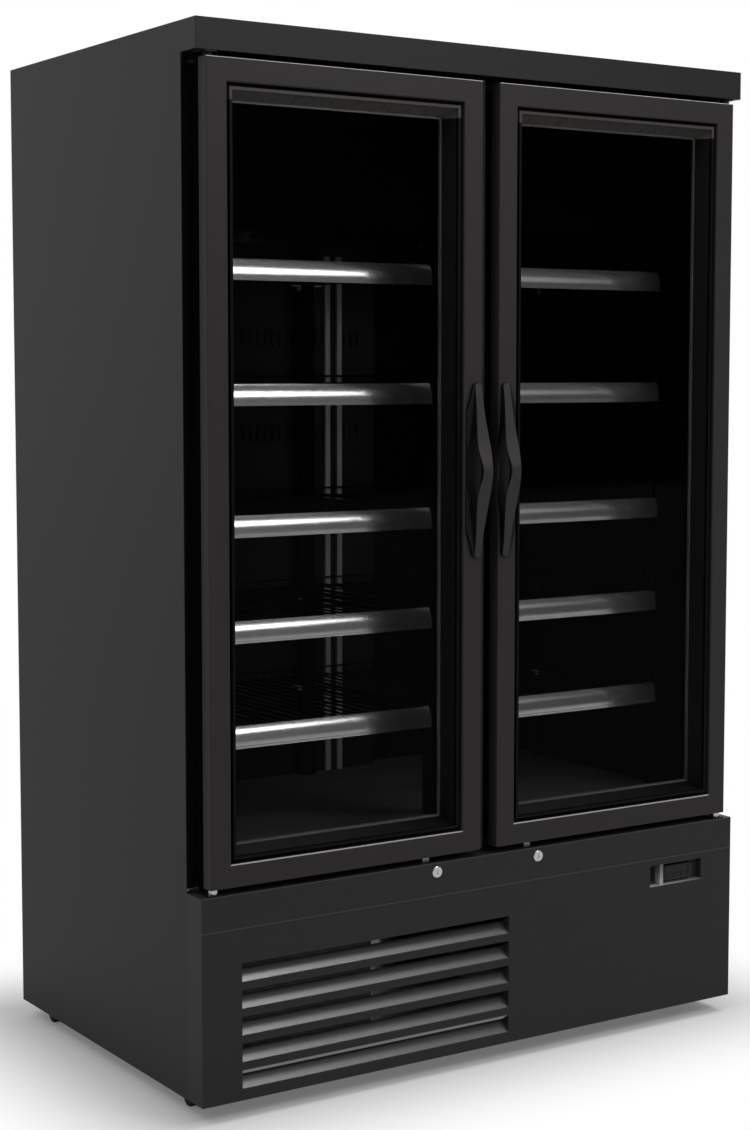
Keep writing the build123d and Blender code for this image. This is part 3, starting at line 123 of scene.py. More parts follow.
class Finish:
    """A material that is built up node by node."""

    def __init__(self, name, library=bpy.data.materials):
        self.material = library.new(name)
        self.material.use_nodes = True
        self.tree = self.material.node_tree
        self.tree.nodes.clear()

    def add(self, kind, settings=None, inputs=None, output=0):
        """Adds one node: its settings first, then the values or wires of its inputs."""
        node = self.tree.nodes.new(kind)
        for name, value in (settings or {}).items():
            if name == "stops":
                for stop, (place, shade) in zip(node.color_ramp.elements, value):
                    stop.position, stop.color = place, (shade, shade, shade, 1)
            else:
                setattr(node, name, value)
        for name, value in (inputs or {}).items():
            if isinstance(value, Wire):
                self.tree.links.new(value.output, node.inputs[name])
            else:
                node.inputs[name].default_value = value
        return Wire(self, node.outputs[output]) if node.outputs else None

    def maths(self, operation, first, second):
        return self.add("ShaderNodeMath", {"operation": operation}, {0: first, 1: second})

    def place(self, stretch=(1, 1, 1)):
        """Object coordinates in metres, stretched where a pattern has a direction."""
        point = self.add("ShaderNodeTexCoord", output="Object")
        if tuple(stretch) == (1, 1, 1):
            return point
        return self.add("ShaderNodeMapping", inputs={"Vector": point, "Scale": stretch})

    def noise(self, scale, detail=2.0, stretch=(1, 1, 1)):
        return self.add(
            "ShaderNodeTexNoise",
            inputs={"Vector": self.place(stretch), "Scale": scale, "Detail": detail},
        )

    def ramp(self, value, low, high, low_shade=0.0, high_shade=1.0):
        """A smooth step from one shade to another between two values."""
        return self.add(
            "ShaderNodeMapRange",
            {"interpolation_type": "SMOOTHSTEP"},
            {
                "Value": value,
                "From Min": low,
                "From Max": high,
                "To Min": low_shade,
                "To Max": high_shade,
            },
        )

    def blend(self, factor, low, high):
        """Mixes two colours; 6 and 7 are the colour inputs of a Mix node."""
        return self.add(
            "ShaderNodeMix", {"data_type": "RGBA"}, {0: factor, 6: low, 7: high}, output=2
        )

    def coordinate(self, axis):
        return self.add("ShaderNodeSeparateXYZ", inputs={"Vector": self.place()}, output=axis)

    def within(self, axis, low, high, both_sides=False):
        """1 where one coordinate lies between two values and 0 elsewhere.

        With both_sides the coordinate's size counts, so left and right are alike.
        """
        place = self.coordinate(axis)
        if both_sides:
            place = self.maths("ABSOLUTE", place, 0.0)
        return self.maths("GREATER_THAN", place, low) * self.maths("LESS_THAN", place, high)

    def bump(self, height, depth):
        return self.add("ShaderNodeBump", inputs={"Height": height, "Distance": depth})

    def shade(self, **inputs):
        """Ends the net in a Principled shader and gives the material back."""
        named = {name.replace("_", " "): value for name, value in inputs.items()}
        skin = self.add("ShaderNodeBsdfPrincipled", inputs=named)
        return self.end(skin)

    def end(self, shader):
        self.add("ShaderNodeOutputMaterial", inputs={"Surface": shader})
        return self.material


def colour(red, green, blue):
    return (red, green, blue, 1.0)


def around(base, spread):
    """Two colours a little darker and a little lighter than the given one."""
    low = colour(*[c * (1 - spread) for c in base])
    high = colour(*[c * (1 + spread) for c in base])
    return low, high


print("shader helpers ready")

# %% [markdown]
# ## Painted steel
# The cabinet is powder coated. Such paint is one even colour from afar, but it flows
# into a fine orange peel in the oven, and its gloss drifts a little over a big panel.
# A slow noise moves the colour and gloss, and a fast one gives the peel as a bump.

# %% Powder coat
def powder_coat(name, base, roughness, shine, peel=0.00012):
    finish = Finish(name)
    drift = finish.noise(2.3, 3)
    grain = finish.noise(620, 2)
    speck = finish.noise(3800, 1)
    low, high = around(base, 0.10)
    return finish.shade(
        Base_Color=finish.blend(0.55 * drift + 0.45 * speck, low, high),
        Roughness=roughness - 0.05 + 0.10 * drift,
        Specular_IOR_Level=shine,
        Normal=finish.bump(grain, peel),
    )


charcoal = (0.0262, 0.0242, 0.0246)
black = (0.0060, 0.0056, 0.0056)
liner_dark = (0.0013, 0.0010, 0.0008)
finishes = {
    "charcoal_steel": powder_coat("charcoal_coat", charcoal, 0.44, 0.16),
    "black_steel": powder_coat("black_coat", black, 0.42, 0.30),
    "dark_liner": powder_coat("liner_coat", liner_dark, 0.50, 0.0),
}
print("painted finishes:", len(finishes))

# %% [markdown]
# ## Bare and plated metal
# Galvanised sheet shows crystals of zinc, each catching the light its own way: Voronoi
# cells give every crystal a brightness. Plated and brushed pieces get noise that is
# stretched along the grain. Fin packs look like close dark lines between bright edges.

# %% Metals
def galvanised(name):
    finish = Finish(name)
    cell = finish.add(
        "ShaderNodeTexVoronoi",
        {"feature": "F1"},
        {"Vector": finish.place(), "Scale": 85.0},
        output="Color",
    )
    grey = finish.add("ShaderNodeRGBToBW", inputs={"Color": cell})
    cloud = finish.noise(9, 3)
    return finish.shade(
        Base_Color=finish.blend(
            0.6 * grey + 0.4 * cloud, colour(0.33, 0.34, 0.35), colour(0.52, 0.53, 0.54)
        ),
        Roughness=0.34 + 0.22 * grey,
        Metallic=0.92,
        Normal=finish.bump(grey, 0.00004),
    )


def brushed(name, base, roughness, stretch, spread=0.14):
    finish = Finish(name)
    streak = finish.noise(260, 3, stretch)
    smear = finish.noise(14, 2)
    low, high = around(base, spread)
    return finish.shade(
        Base_Color=finish.blend(0.7 * streak + 0.3 * smear, low, high),
        Roughness=roughness + 0.14 * streak,
        Metallic=0.95,
        Normal=finish.bump(streak, 0.00003),
    )


def perforated(name):
    """Aluminium spacer: a dark dot in the middle of every 5 mm cell."""
    finish = Finish(name)
    distance = finish.add(
        "ShaderNodeTexVoronoi",
        {"feature": "F1"},
        {"Vector": finish.place(), "Scale": 200.0, "Randomness": 0.0},
    )
    solid = finish.ramp(distance, 0.26, 0.36)
    tone = finish.noise(60, 2)
    return finish.shade(
        Base_Color=finish.blend(solid, colour(0.004, 0.004, 0.004), colour(0.30, 0.30, 0.30)),
        Roughness=0.34 + 0.2 * tone,
        Metallic=0.85,
        Normal=finish.bump(solid, 0.0002),
    )


finishes.update(
    {
        "galvanised": galvanised("galvanised_sheet"),
        "zinc": brushed("zinc_plate", (0.36, 0.36, 0.37), 0.30, (1, 1, 0.15)),
        "silver": brushed("lock_plate", (0.70, 0.70, 0.71), 0.12, (1, 0.2, 1), 0.05),
        "coil": brushed("fin_metal", (0.50, 0.50, 0.51), 0.32, (1, 1, 0.1)),
        "spacer_metal": perforated("spacer_metal"),
    }
)
print("finishes so far:", len(finishes))

# %% [markdown]
# ## Plastics, rubber, foam and enamel
# Moulded plastic copies the fine spark grain of its tool, so a fast noise is its bump.
# Rubber is the same idea, duller and with faint dust. The rails are extruded: smooth
# along their length, with hardly any grain. Foam is full of small cut cells.

# %% Plastics and the rest
def moulded(name, base, roughness, shine=0.4, grain=1500.0, depth=0.00008, spread=0.12):
    finish = Finish(name)
    spark = finish.noise(grain, 2)
    drift = finish.noise(7, 2)
    low, high = around(base, spread)
    return finish.shade(
        Base_Color=finish.blend(0.5 * spark + 0.5 * drift, low, high),
        Roughness=roughness - 0.05 + 0.12 * drift,
        Specular_IOR_Level=shine,
        Normal=finish.bump(spark, depth),
    )


def extruded(name, base, roughness):
    finish = Finish(name)
    draw_lines = finish.noise(900, 2, (0.004, 1, 1))
    drift = finish.noise(5, 2)
    low, high = around(base, 0.06)
    return finish.shade(
        Base_Color=finish.blend(0.4 * draw_lines + 0.6 * drift, low, high),
        Roughness=roughness + 0.04 * drift,
        Metallic=0.9,
        Normal=finish.bump(draw_lines, 0.000004),
    )


def foamed(name):
    finish = Finish(name)
    cells = finish.add(
        "ShaderNodeTexVoronoi", {"feature": "F1"}, {"Vector": finish.place(), "Scale": 420.0}
    )
    return finish.shade(
        Base_Color=finish.blend(cells, colour(0.50, 0.42, 0.22), colour(0.80, 0.73, 0.50)),
        Roughness=0.9,
        Normal=finish.bump(cells, 0.0006),
    )


finishes.update(
    {
        "black_plastic": moulded("black_moulding", (0.0042, 0.0036, 0.0034), 0.50, 0.22),
        "charcoal_plastic": moulded("handle_moulding", (0.0400, 0.0355, 0.0362), 0.40, 0.20),
        "fan_plastic": moulded("fan_moulding", (0.016, 0.016, 0.017), 0.42, 0.45, 900),
        "display": moulded("control_fascia", (0.0060, 0.0058, 0.0054), 0.22, 0.3, 2600, 0.00001),
        "rubber": moulded("seal_rubber", (0.0085, 0.0085, 0.0085), 0.72, 0.25, 1100, 0.0001, 0.3),
        "rail": extruded("price_rail_strip", (0.55, 0.545, 0.55), 0.15),
        "wire": moulded("coated_wire", (0.0014, 0.0012, 0.0011), 0.45, 0.0, 700, 0.00005),
        "can": moulded("can_enamel", (0.008, 0.008, 0.008), 0.18, 0.5, 260, 0.0001),
        "foam": foamed("white_foam"),
    }
)
print("finishes so far:", len(finishes))

# %% [markdown]
# ## Glass
# Each door has two clear panes. Clear glass could be a Glass shader, but then lamps
# reach the shelves only by chance and the picture stays noisy. So the pane lets light
# straight through with a slight tint and adds a mirror on the side that faces out. Its
# share is Fresnel's law squared: next to nothing face on, where the coated panes of such
# a door look black, and strong at a glancing view.

# %% Glass
def pane_glass(name):
    finish = Finish(name)
    smear = finish.noise(3.1, 3)
    clear = finish.add(
        "ShaderNodeBsdfTransparent", inputs={"Color": colour(0.955, 0.955, 0.955)}
    )
    mirror = finish.add(
        "ShaderNodeBsdfGlossy", inputs={"Roughness": 0.03, "Color": colour(0.9, 0.9, 0.9)}
    )
    fresnel = finish.add("ShaderNodeFresnel", inputs={"IOR": 1.45})
    behind = finish.add("ShaderNodeNewGeometry", output="Backfacing")
    share = fresnel * fresnel * (1.1 + 0.3 * smear) * (1 - behind)
    return finish.end(
        finish.add("ShaderNodeMixShader", inputs={0: share, 1: clear, 2: mirror})
    )


finishes["glass"] = pane_glass("door_glass")
print("finishes:", len(finishes))

# %% [markdown]
# ## Where a finish changes
# Some pieces aren't one tone all over: a bush is bright in a black bracket. Other stretches
# carry painted light: a folded edge is painted lighter than its sheet as a painted highlight,
# and a flange in the doors' shade is painted dark. Such a stretch could be a piece of its own,
# but a mask on Object coordinates is enough. These are the planes, in metres, that the masks go
# by.

# %% Places of the marks
front_y, face_y, side_x = -0.3695, -0.3145, 0.625
seam_z, base_top = 0.3493, 0.4125
door_low, door_high = 0.4245, 1.875
just_ahead = 0.001
edge_round, fold_round = 0.0024, 0.0006
lip_low, lip_high = door_low + 0.036, door_low + 0.0425
ledge_drop = 0.071
collar_z = (0.4157, 0.50)
trim_x, trim_y = (0.0195, 0.0250), (-0.32, -0.3144)
channel_edges, channel_y = [(0.0575, 0.0703), (0.0877, 0.1003)], (0.30, 0.3203)
blades_x, blades_z, blades_depth = (-0.5435, 0.050), (0.055, 0.286), (0.0009, 0.0215)
recess_x, recess_lip_z, recess_deep = (0.4065, 0.5445), (0.2928, 0.2945), 0.0145
recess_bar_x, recess_bar_z = (0.4335, 0.4435), (0.294, 0.3365)
tray_z = (0.4585, 0.4615)
print("front plane:", front_y, "doors from", door_low, "to", door_high)

# %% [markdown]
# ## A coat with marks
# The plain tone comes first, and every mask lays its own tone over what is there; some of
# these tones are a part's own colour, others are painted highlights and painted shade. The
# blades in the lower panel lean back and mirror what is above them. In the picture they
# are paler than the panel, so a mask on Coat Weight gives them a stronger clear coat.

# %% Finishes that change with the place
def tones_and_painted_light(name, base, marks, roughness, metallic=0.0, shine=0.15, glossy=None):
    """A coat in one colour, with a stretch in another colour for every pair in marks; some are a
    part's own colour, others painted highlights and painted shade.

    Where the mask `glossy` is 1, a clear coat lies over it.
    """
    finish = Finish(name)
    drift = finish.noise(40, 2)
    tone, marked_share = finish.blend(drift, *around(base, 0.1)), 0.0
    for mask_of, mark in marks:
        mask = mask_of(finish)
        tone = finish.blend(mask, tone, colour(*mark))
        marked_share = marked_share + mask
    return finish.shade(
        Coat_Weight=glossy(finish) if glossy else 0.0,
        Coat_Roughness=0.26,
        Coat_IOR=2.4,
        Base_Color=tone,
        Roughness=roughness + 0.08 * drift - 0.16 * marked_share,
        Metallic=metallic * marked_share,
        Specular_IOR_Level=shine,
        Normal=finish.bump(finish.noise(900, 2), 0.00004),
    )


def upward_edge(finish, low, high):
    """The part of a rounded front edge, between two heights, that looks up and takes the painted
    highlight.
    """
    normal = finish.add("ShaderNodeTexCoord", output="Normal")
    rise = finish.add("ShaderNodeSeparateXYZ", inputs={"Vector": normal}, output="Z")
    near = finish.within("Y", front_y - just_ahead, front_y + edge_round)
    return finish.within("Z", low, high) * near * finish.ramp(rise, 0.15, 0.60)


def door_edge_highlights(finish):
    """Painted highlight on the top edge of a door and on the lip under its glass, where light from
    above lands.
    """
    top = upward_edge(finish, door_high - 0.0025, door_high + 0.001)
    lip = upward_edge(finish, lip_low, lip_high)
    return top + 0.8 * lip


def painted_fold_highlights(finish):
    """Painted highlight on the folded top edges of the base strip and of the lower panel."""
    near = finish.within("Y", front_y - just_ahead, front_y + fold_round)
    strip = finish.within("Z", base_top - 0.0012, base_top + 0.001)
    seam = finish.within("Z", seam_z - 0.0009, seam_z + 0.0004)
    return near * (strip + seam)


def shell_flange(finish):
    """The flange inside the shell's front edge, painted dark as the shade of the doors."""
    inside = finish.within("X", 0, side_x - 0.0014, both_sides=True)
    return finish.within("Y", face_y - just_ahead, face_y + 0.0014) * inside


def top_ledge_reflection(finish):
    """The glazing ledge above the glass, with a painted reflection of the lit floor."""
    return finish.within("Z", door_high - ledge_drop, door_high)


def bright_collars(finish):
    """The bush on each lower hinge pin."""
    return finish.within("Z", *collar_z)


def light_trims(finish):
    """The thin trims in the gap between the doors."""
    return finish.within("X", *trim_x, both_sides=True) * finish.within("Y", *trim_y)


def channel_edge_highlights(finish):
    """Painted highlight on the two edges of the raised channel on the duct cover."""
    first, second = [finish.within("X", *edge) for edge in channel_edges]
    return (first + second) * finish.within("Y", *channel_y)


def blade_faces(finish):
    """The leaning blades and their cheeks, just behind the panel's plane."""
    behind = finish.within("Y", front_y + blades_depth[0], front_y + blades_depth[1])
    return behind * finish.within("X", *blades_x) * finish.within("Z", *blades_z)


def recess_rim_highlights(finish):
    """Painted highlight on the bar and the lower lip of the control recess, brightest low on the
    bar and at the lip's left end.
    """
    bar = finish.within("X", *recess_bar_x) * finish.within("Z", *recess_bar_z)
    lip = finish.within("X", *recess_x) * finish.within("Z", *recess_lip_z)
    near = finish.within("Y", front_y - just_ahead, front_y + recess_deep)
    bar_highlight = bar * finish.ramp(finish.coordinate("Z"), 0.295, 0.332, 1.0, 0.35)
    lip_highlight = lip * finish.ramp(finish.coordinate("X"), 0.44, 0.56, 0.9, 0.3)
    return near * (bar_highlight + lip_highlight)


def tray_floor(finish):
    """The cabinet's floor, a plain grey tray."""
    return finish.within("Z", *tray_z)


def gloss_bead(name):
    """The door's inner ledges: black, with a paler painted reflection on the ledge over the glass.
    """
    # The mark's colour is a painted reflection on the top ledge.
    marks = [(top_ledge_reflection, (0.075, 0.070, 0.066))]
    return tones_and_painted_light(name, (0.0030, 0.0026, 0.0022), marks, 0.40, shine=0.10)


def edged(name, base, *marks, glossy=None):
    """The powder coat of the outer sheets, with its marks of painted highlight and painted shade.
    """
    return tones_and_painted_light(name, base, marks, 0.42, shine=0.16, glossy=glossy)


# The second colour on the next line is a painted highlight for the door edges.
door_coat, door_highlight_paint = (0.0345, 0.0305, 0.0312), (0.55, 0.54, 0.54)
# The second colour on the next line is a painted highlight for the folded edges.
front_coat, fold_highlight_paint = (0.0330, 0.0305, 0.0310), (0.085, 0.080, 0.080)
# The first colour on the next line is a painted highlight for the recess rim; the second is the
# tray's own grey.
rim_highlight_paint, tray_grey = (0.46, 0.45, 0.45), (0.060, 0.056, 0.054)
# The second colour on the next line is a painted highlight for the duct channel's edges.
trim_light, channel_highlight_paint = (0.16, 0.155, 0.15), (0.30, 0.28, 0.28)
# The second colour on the next line is painted shade for the flange behind the doors.
bush_metal, door_shade_paint = (0.62, 0.62, 0.63), (0.003, 0.0028, 0.0028)
frame_black = (0.0042, 0.0036, 0.0034)
marked = {
    "outer_shell": edged("shell_coat", charcoal, (shell_flange, door_shade_paint)),
    "base_strip": edged("base_coat", front_coat, (painted_fold_highlights, fold_highlight_paint)),
    "grille_panel": edged(
        "grille_coat",
        front_coat,
        (painted_fold_highlights, fold_highlight_paint),
        (recess_rim_highlights, rim_highlight_paint),
        glossy=blade_faces,
    ),
    "door_frame_left": edged("frame_coat_left", door_coat, (door_edge_highlights, door_highlight_paint)),
    "door_frame_right": edged("frame_coat_right", door_coat, (door_edge_highlights, door_highlight_paint)),
    "door_bead_left": gloss_bead("bead_left"),
    "door_bead_right": gloss_bead("bead_right"),
    "hinge_brackets": tones_and_painted_light("bracket_coat", black, [(bright_collars, bush_metal)], 0.36, 1.0),
    "front_frame": tones_and_painted_light("frame_moulding", frame_black, [(light_trims, trim_light)], 0.5),
    "duct_cover": tones_and_painted_light("duct_coat", liner_dark, [(channel_edge_highlights, channel_highlight_paint)], 0.5),
    "liner": tones_and_painted_light("liner_floor", liner_dark, [(tray_floor, tray_grey)], 0.5, shine=0),
}
print("finishes by place:", len(marked))

# %% [markdown]
# ## Give every solid its finish
# The record names a material slot for each solid, and `finishes` goes by those slots, so
# one loop dresses the whole frame. A piece that has a finish of its own takes that one.

# %% Dress the solids
slot_of = {row["node"]: row["material_slot"] for row in frame["record"]["subparts"]}
for node, piece in nodes.items():
    piece.material_slots[0].material = marked.get(node, finishes[slot_of[node]])
print("dressed:", len(slot_of))

# %% [markdown]
# ## Surfaces worked out with numpy
# A thin round piece is a circle carried along a path. All its points are one array
# product, and the faces are the same grid every time, so a shelf of wires costs no more
# code than one. `new_piece` puts the arrays in a mesh, rides it on its body and says
# which record slot it takes its finish from.

# %% Mesh helpers
def new_piece(name, points, faces, slot, body, fold=35.0):
    """Makes one object from points and faces, with its finish and its body.

    Faces that meet at less than `fold` degrees shade as one curve, others as an edge.
    """
    mesh = bpy.data.meshes.new(name)
    mesh.from_pydata(points, [], faces)
    mesh.validate()
    mesh.polygons.foreach_set("use_smooth", [True] * len(mesh.polygons))
    mesh.set_sharp_from_angle(angle=math.radians(fold))
    piece = bpy.data.objects.new(name, mesh)
    bpy.context.scene.collection.objects.link(piece)
    mesh.materials.append(finishes[slot])
    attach(piece, body)
    print(name, "faces:", len(mesh.polygons))
    return piece


def gather(parts):
    """Joins (points, faces) pairs into one pair, renumbering the faces."""
    points, faces, start = [], [], 0
    for part_points, part_faces in parts:
        points.append(np.asarray(part_points, float))
        faces += [tuple(start + i for i in face) for face in part_faces]
        start += len(part_points)
    return np.concatenate(points), faces


def grid_faces(rows, columns, closed=True):
    """Quads of a grid; a closed grid joins its last column to its first."""
    wrap = columns if closed else columns - 1
    row, column = np.meshgrid(np.arange(rows - 1), np.arange(wrap), indexing="ij")
    near = row * columns + column
    side = row * columns + (column + 1) % columns
    quads = np.stack([near, side, side + columns, near + columns], -1).reshape(-1, 4)
    return [tuple(quad) for quad in quads.tolist()]


def tube(path, radius, count=8):
    """A round bar along a path of points.

    At each path point stands a circle: centre + radius * (cos a * u + sin a * v), where
    u and v are square to the path's direction there.
    """
    path = np.asarray(path, float)
    along = np.gradient(path, axis=0)
    along /= np.linalg.norm(along, axis=1)[:, None]
    start = np.array((0, 0, 1.0)) if abs(along[0][2]) < 0.9 else np.array((1.0, 0, 0))
    u = [np.cross(along[0], start)]
    for direction in along[1:]:
        u.append(u[-1] - direction * (u[-1] @ direction))
    u = np.array([line / np.linalg.norm(line) for line in u])
    v = np.cross(along, u)
    angle = np.arange(count) * 2 * math.pi / count
    circle = np.cos(angle)[None, :, None] * u[:, None] + np.sin(angle)[None, :, None] * v[:, None]
    points = (path[:, None] + radius * circle).reshape(-1, 3)
    faces = grid_faces(len(path), count)
    last = (len(path) - 1) * count
    faces.append(tuple(range(count))[::-1])
    faces.append(tuple(last + i for i in range(count)))
    return points, faces


def turned(profile, place, axis, count=20):
    """A turned piece: each (radius, height) of the profile swept round an axis."""
    profile = np.asarray(profile, float)
    axis = np.asarray(axis, float)
    helper = np.array((0, 0, 1.0)) if abs(axis[2]) < 0.9 else np.array((1.0, 0, 0))
    u = np.cross(axis, helper)
    u /= np.linalg.norm(u)
    v = np.cross(axis, u)
    angle = np.arange(count) * 2 * math.pi / count
    circle = np.cos(angle)[:, None] * u + np.sin(angle)[:, None] * v
    rings = profile[:, 0, None, None] * circle[None] + profile[:, 1, None, None] * axis
    points = (np.asarray(place, float) + rings).reshape(-1, 3)
    faces = grid_faces(len(profile), count)
    last = (len(profile) - 1) * count
    faces.append(tuple(range(count))[::-1])
    faces.append(tuple(last + i for i in range(count)))
    return points, faces


def plate(low, high):
    """A thin sheet's six faces between two corners."""
    x, y, z = zip(low, high)
    points = [(x[i], y[j], z[k]) for i in (0, 1) for j in (0, 1) for k in (0, 1)]
    faces = [(0, 1, 3, 2), (4, 6, 7, 5), (0, 4, 5, 1), (2, 3, 7, 6), (0, 2, 6, 4), (1, 5, 7, 3)]
    return points, faces


def swept(profile, low_x, high_x):
    """A closed (y, z) outline drawn along X, with both ends filled."""
    profile = np.asarray(profile, float)
    ends = [np.insert(profile, 0, x, axis=1) for x in (low_x, high_x)]
    count = len(profile)
    faces = [(i, (i + 1) % count, count + (i + 1) % count, count + i) for i in range(count)]
    faces += [tuple(range(count))[::-1], tuple(range(count, 2 * count))]
    return np.concatenate(ends), faces


print("mesh helpers ready")

# %% [markdown]
# ## Wire shelves
# A shelf is welded from round wires: many thin ones from front to back, a few bars
# across under them, a hoop down each side that stiffens it, and a low fence along the
# back that stops the goods. The solids have square wires; here they are round.

# %% Wire shelves
shelf_in, shelf_out = 0.024, 0.5538
shelf_start, shelf_end = front_y + 0.171, front_y + 0.678
shelf_tops = [0.680, 0.876, 1.072, 1.314, 1.543]
wire_radius = 0.002
long_wires, cross_bars = 21, 4
hoop_drop, fence_rise = 0.022, 0.015


def shelf_wires(side, top):
    """All wires of one shelf, each a straight or bent path with a circle round it."""
    low, high = sorted((side * shelf_in, side * shelf_out))
    parts = []
    middle = top - wire_radius
    for x in np.linspace(low + wire_radius, high - wire_radius, long_wires):
        parts.append(tube([(x, shelf_start, middle), (x, shelf_end, middle)], wire_radius))
    bar = middle - 2 * wire_radius
    for y in np.linspace(shelf_start + wire_radius, shelf_end - wire_radius, cross_bars):
        parts.append(tube([(low, y, bar), (high, y, bar)], wire_radius))
    hoop = top - hoop_drop + wire_radius
    for x in (low + wire_radius, high - wire_radius):
        for z in (bar - 2 * wire_radius, hoop):
            parts.append(tube([(x, shelf_start, z), (x, shelf_end, z)], wire_radius))
        for y in np.linspace(shelf_start + wire_radius, shelf_end - wire_radius, 6):
            parts.append(tube([(x, y, hoop), (x, y, bar)], wire_radius))
    back = shelf_end - wire_radius
    fence = top + fence_rise - wire_radius
    parts.append(tube([(low, back, fence), (high, back, fence)], wire_radius))
    for x in np.linspace(low + wire_radius, high - wire_radius, 8):
        parts.append(tube([(x, back, middle), (x, back, fence)], wire_radius))
    return gather(parts)


all_shelves = gather([shelf_wires(side, top) for side in (-1, 1) for top in shelf_tops])
shelves = new_piece("shelf_wires", *all_shelves, "wire", "cabinet")
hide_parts("shelves")

# %% [markdown]
# ## Price rails
# The strip along each shelf's front is an extrusion with a bowed face: it leans back at
# the top, and a groove above the lower lip holds the tickets. Its bow is what draws the
# bright tapering streak in the picture, so the curve gets many points here.

# %% Price rails
rail_front = front_y + 0.158
rail_height, rail_back, rail_thick = 0.040, 0.010, 0.003
rail_lip, rail_groove = 0.003, 0.0012


def rail_outline(top, count=14):
    """The rail's side view.

    The face follows a circle that starts upright over the ticket groove:
    y = r - sqrt(r * r - h * h), with h the height above the groove.
    """
    low = 2 * rail_lip
    rise = rail_height - low
    bow_radius = (rise * rise + rail_back * rail_back) / (2 * rail_back)
    height = np.linspace(0, rise, count)
    lean = bow_radius - np.sqrt(bow_radius**2 - height**2)
    face = np.stack([rail_front + lean, top - rise + height], -1)
    rear = face[::-1] + (rail_thick, 0)
    foot = np.array(
        [
            (rail_front + rail_thick, top - rail_height),
            (rail_front - rail_lip, top - rail_height),
            (rail_front - rail_lip, top - rail_height + rail_lip),
            (rail_front + rail_groove, top - rail_height + rail_lip),
            (rail_front + rail_groove, top - rail_height + 2 * rail_lip),
        ]
    )
    return np.concatenate([face, rear, foot])[::-1]


rail_parts = []
for side in (-1, 1):
    low, high = sorted((side * shelf_in, side * shelf_out))
    rail_parts += [swept(rail_outline(top), low, high) for top in shelf_tops]
rails = new_piece("price_strips", *gather(rail_parts), "rail", "cabinet")
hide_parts("price_rails")

# %% [markdown]
# ## Finned coils
# Both coils are stacks of thin fins pressed on tubes that run through them and turn
# back at the ends. A block would show no light between the fins, so each fin is a sheet
# of its own and each bend is half a ring.

# %% Finned coils
fin_pitch, fin_thick, end_plate_thick = 0.004, 0.00025, 0.0012


def finned_coil(node, name, rows, tube_radius):
    """Fins, end plates and return bends inside the box of the coil's solid."""
    low, high = (np.array(corner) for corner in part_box(node))
    pitch = (high[2] - low[2]) / (rows + 1)
    reach = pitch / 2 + tube_radius
    pack_low, pack_high = low[0] + reach, high[0] - reach
    parts = []
    for x in np.arange(pack_low, pack_high, fin_pitch):
        parts.append(plate((x, low[1], low[2]), (x + fin_thick, high[1], high[2])))
    for x in (pack_low, pack_high - end_plate_thick):
        parts.append(plate((x, low[1], low[2]), (x + end_plate_thick, high[1], high[2])))
    middle = (low[1] + high[1]) / 2
    angle = np.linspace(-math.pi / 2, math.pi / 2, 9)
    for end, turn in ((pack_low, -1), (pack_high, 1)):
        for row in range(0 if turn > 0 else 1, rows - 1, 2):
            centre = low[2] + pitch * (row + 1.5)
            path = np.stack(
                [
                    end + turn * pitch / 2 * np.cos(angle),
                    np.full_like(angle, middle),
                    centre + pitch / 2 * np.sin(angle),
                ],
                -1,
            )
            parts.append(tube(path, tube_radius))
    for row in range(rows):
        z = low[2] + pitch * (row + 1)
        parts.append(tube([(pack_low, middle, z), (pack_high, middle, z)], tube_radius))
    piece = new_piece(name, *gather(parts), "coil", "cabinet")
    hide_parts(node)
    return piece


finned_coil("condenser", "condenser_fins", 8, 0.0048)
finned_coil("evaporator", "evaporator_fins", 4, 0.0048)

# %% [markdown]
# ## Screws on the back
# The back panel and the machine cover are held by pan-head screws. A pan head is a
# short turned shape, domed on top with a small socket in the middle.

# %% Screws
def pan_screw(place, axis, radius=0.0042):
    """A turned head: flat under, round at the shoulder, with a sunk socket."""
    profile = [
        (radius, 0.0),
        (radius, 0.0010),
        (radius * 0.82, 0.0019),
        (radius * 0.50, 0.0023),
        (radius * 0.34, 0.0023),
        (radius * 0.28, 0.0009),
    ]
    return turned(profile, place, axis, 14)


back_y, seat = 0.4095, 0.0001
column_x, top_row_z = 0.610, 1.915
screw_places = [(x, z) for x in (-column_x, column_x) for z in np.linspace(0.45, 1.90, 8)]
screw_places += [(x, top_row_z) for x in np.linspace(-0.45, 0.45, 5)]
screw_parts = [pan_screw((x, back_y - seat, z), (0, 1, 0)) for x, z in screw_places]
new_piece("back_screws", *gather(screw_parts), "zinc", "cabinet")

# %% [markdown]
# ## The floor
# The picture has a pale studio floor that runs into a white background. The floor is
# matt near the cabinet, so that it takes the soft shadow, and fades to plain white
# further out. A backdrop could do the same, but then it would show in every side view.

# %% Floor
shadow_centre, shadow_half = (0.0, 0.06, 0), (0.625, 0.3895, 1)
shadow_start, shadow_end = -0.10, 0.36


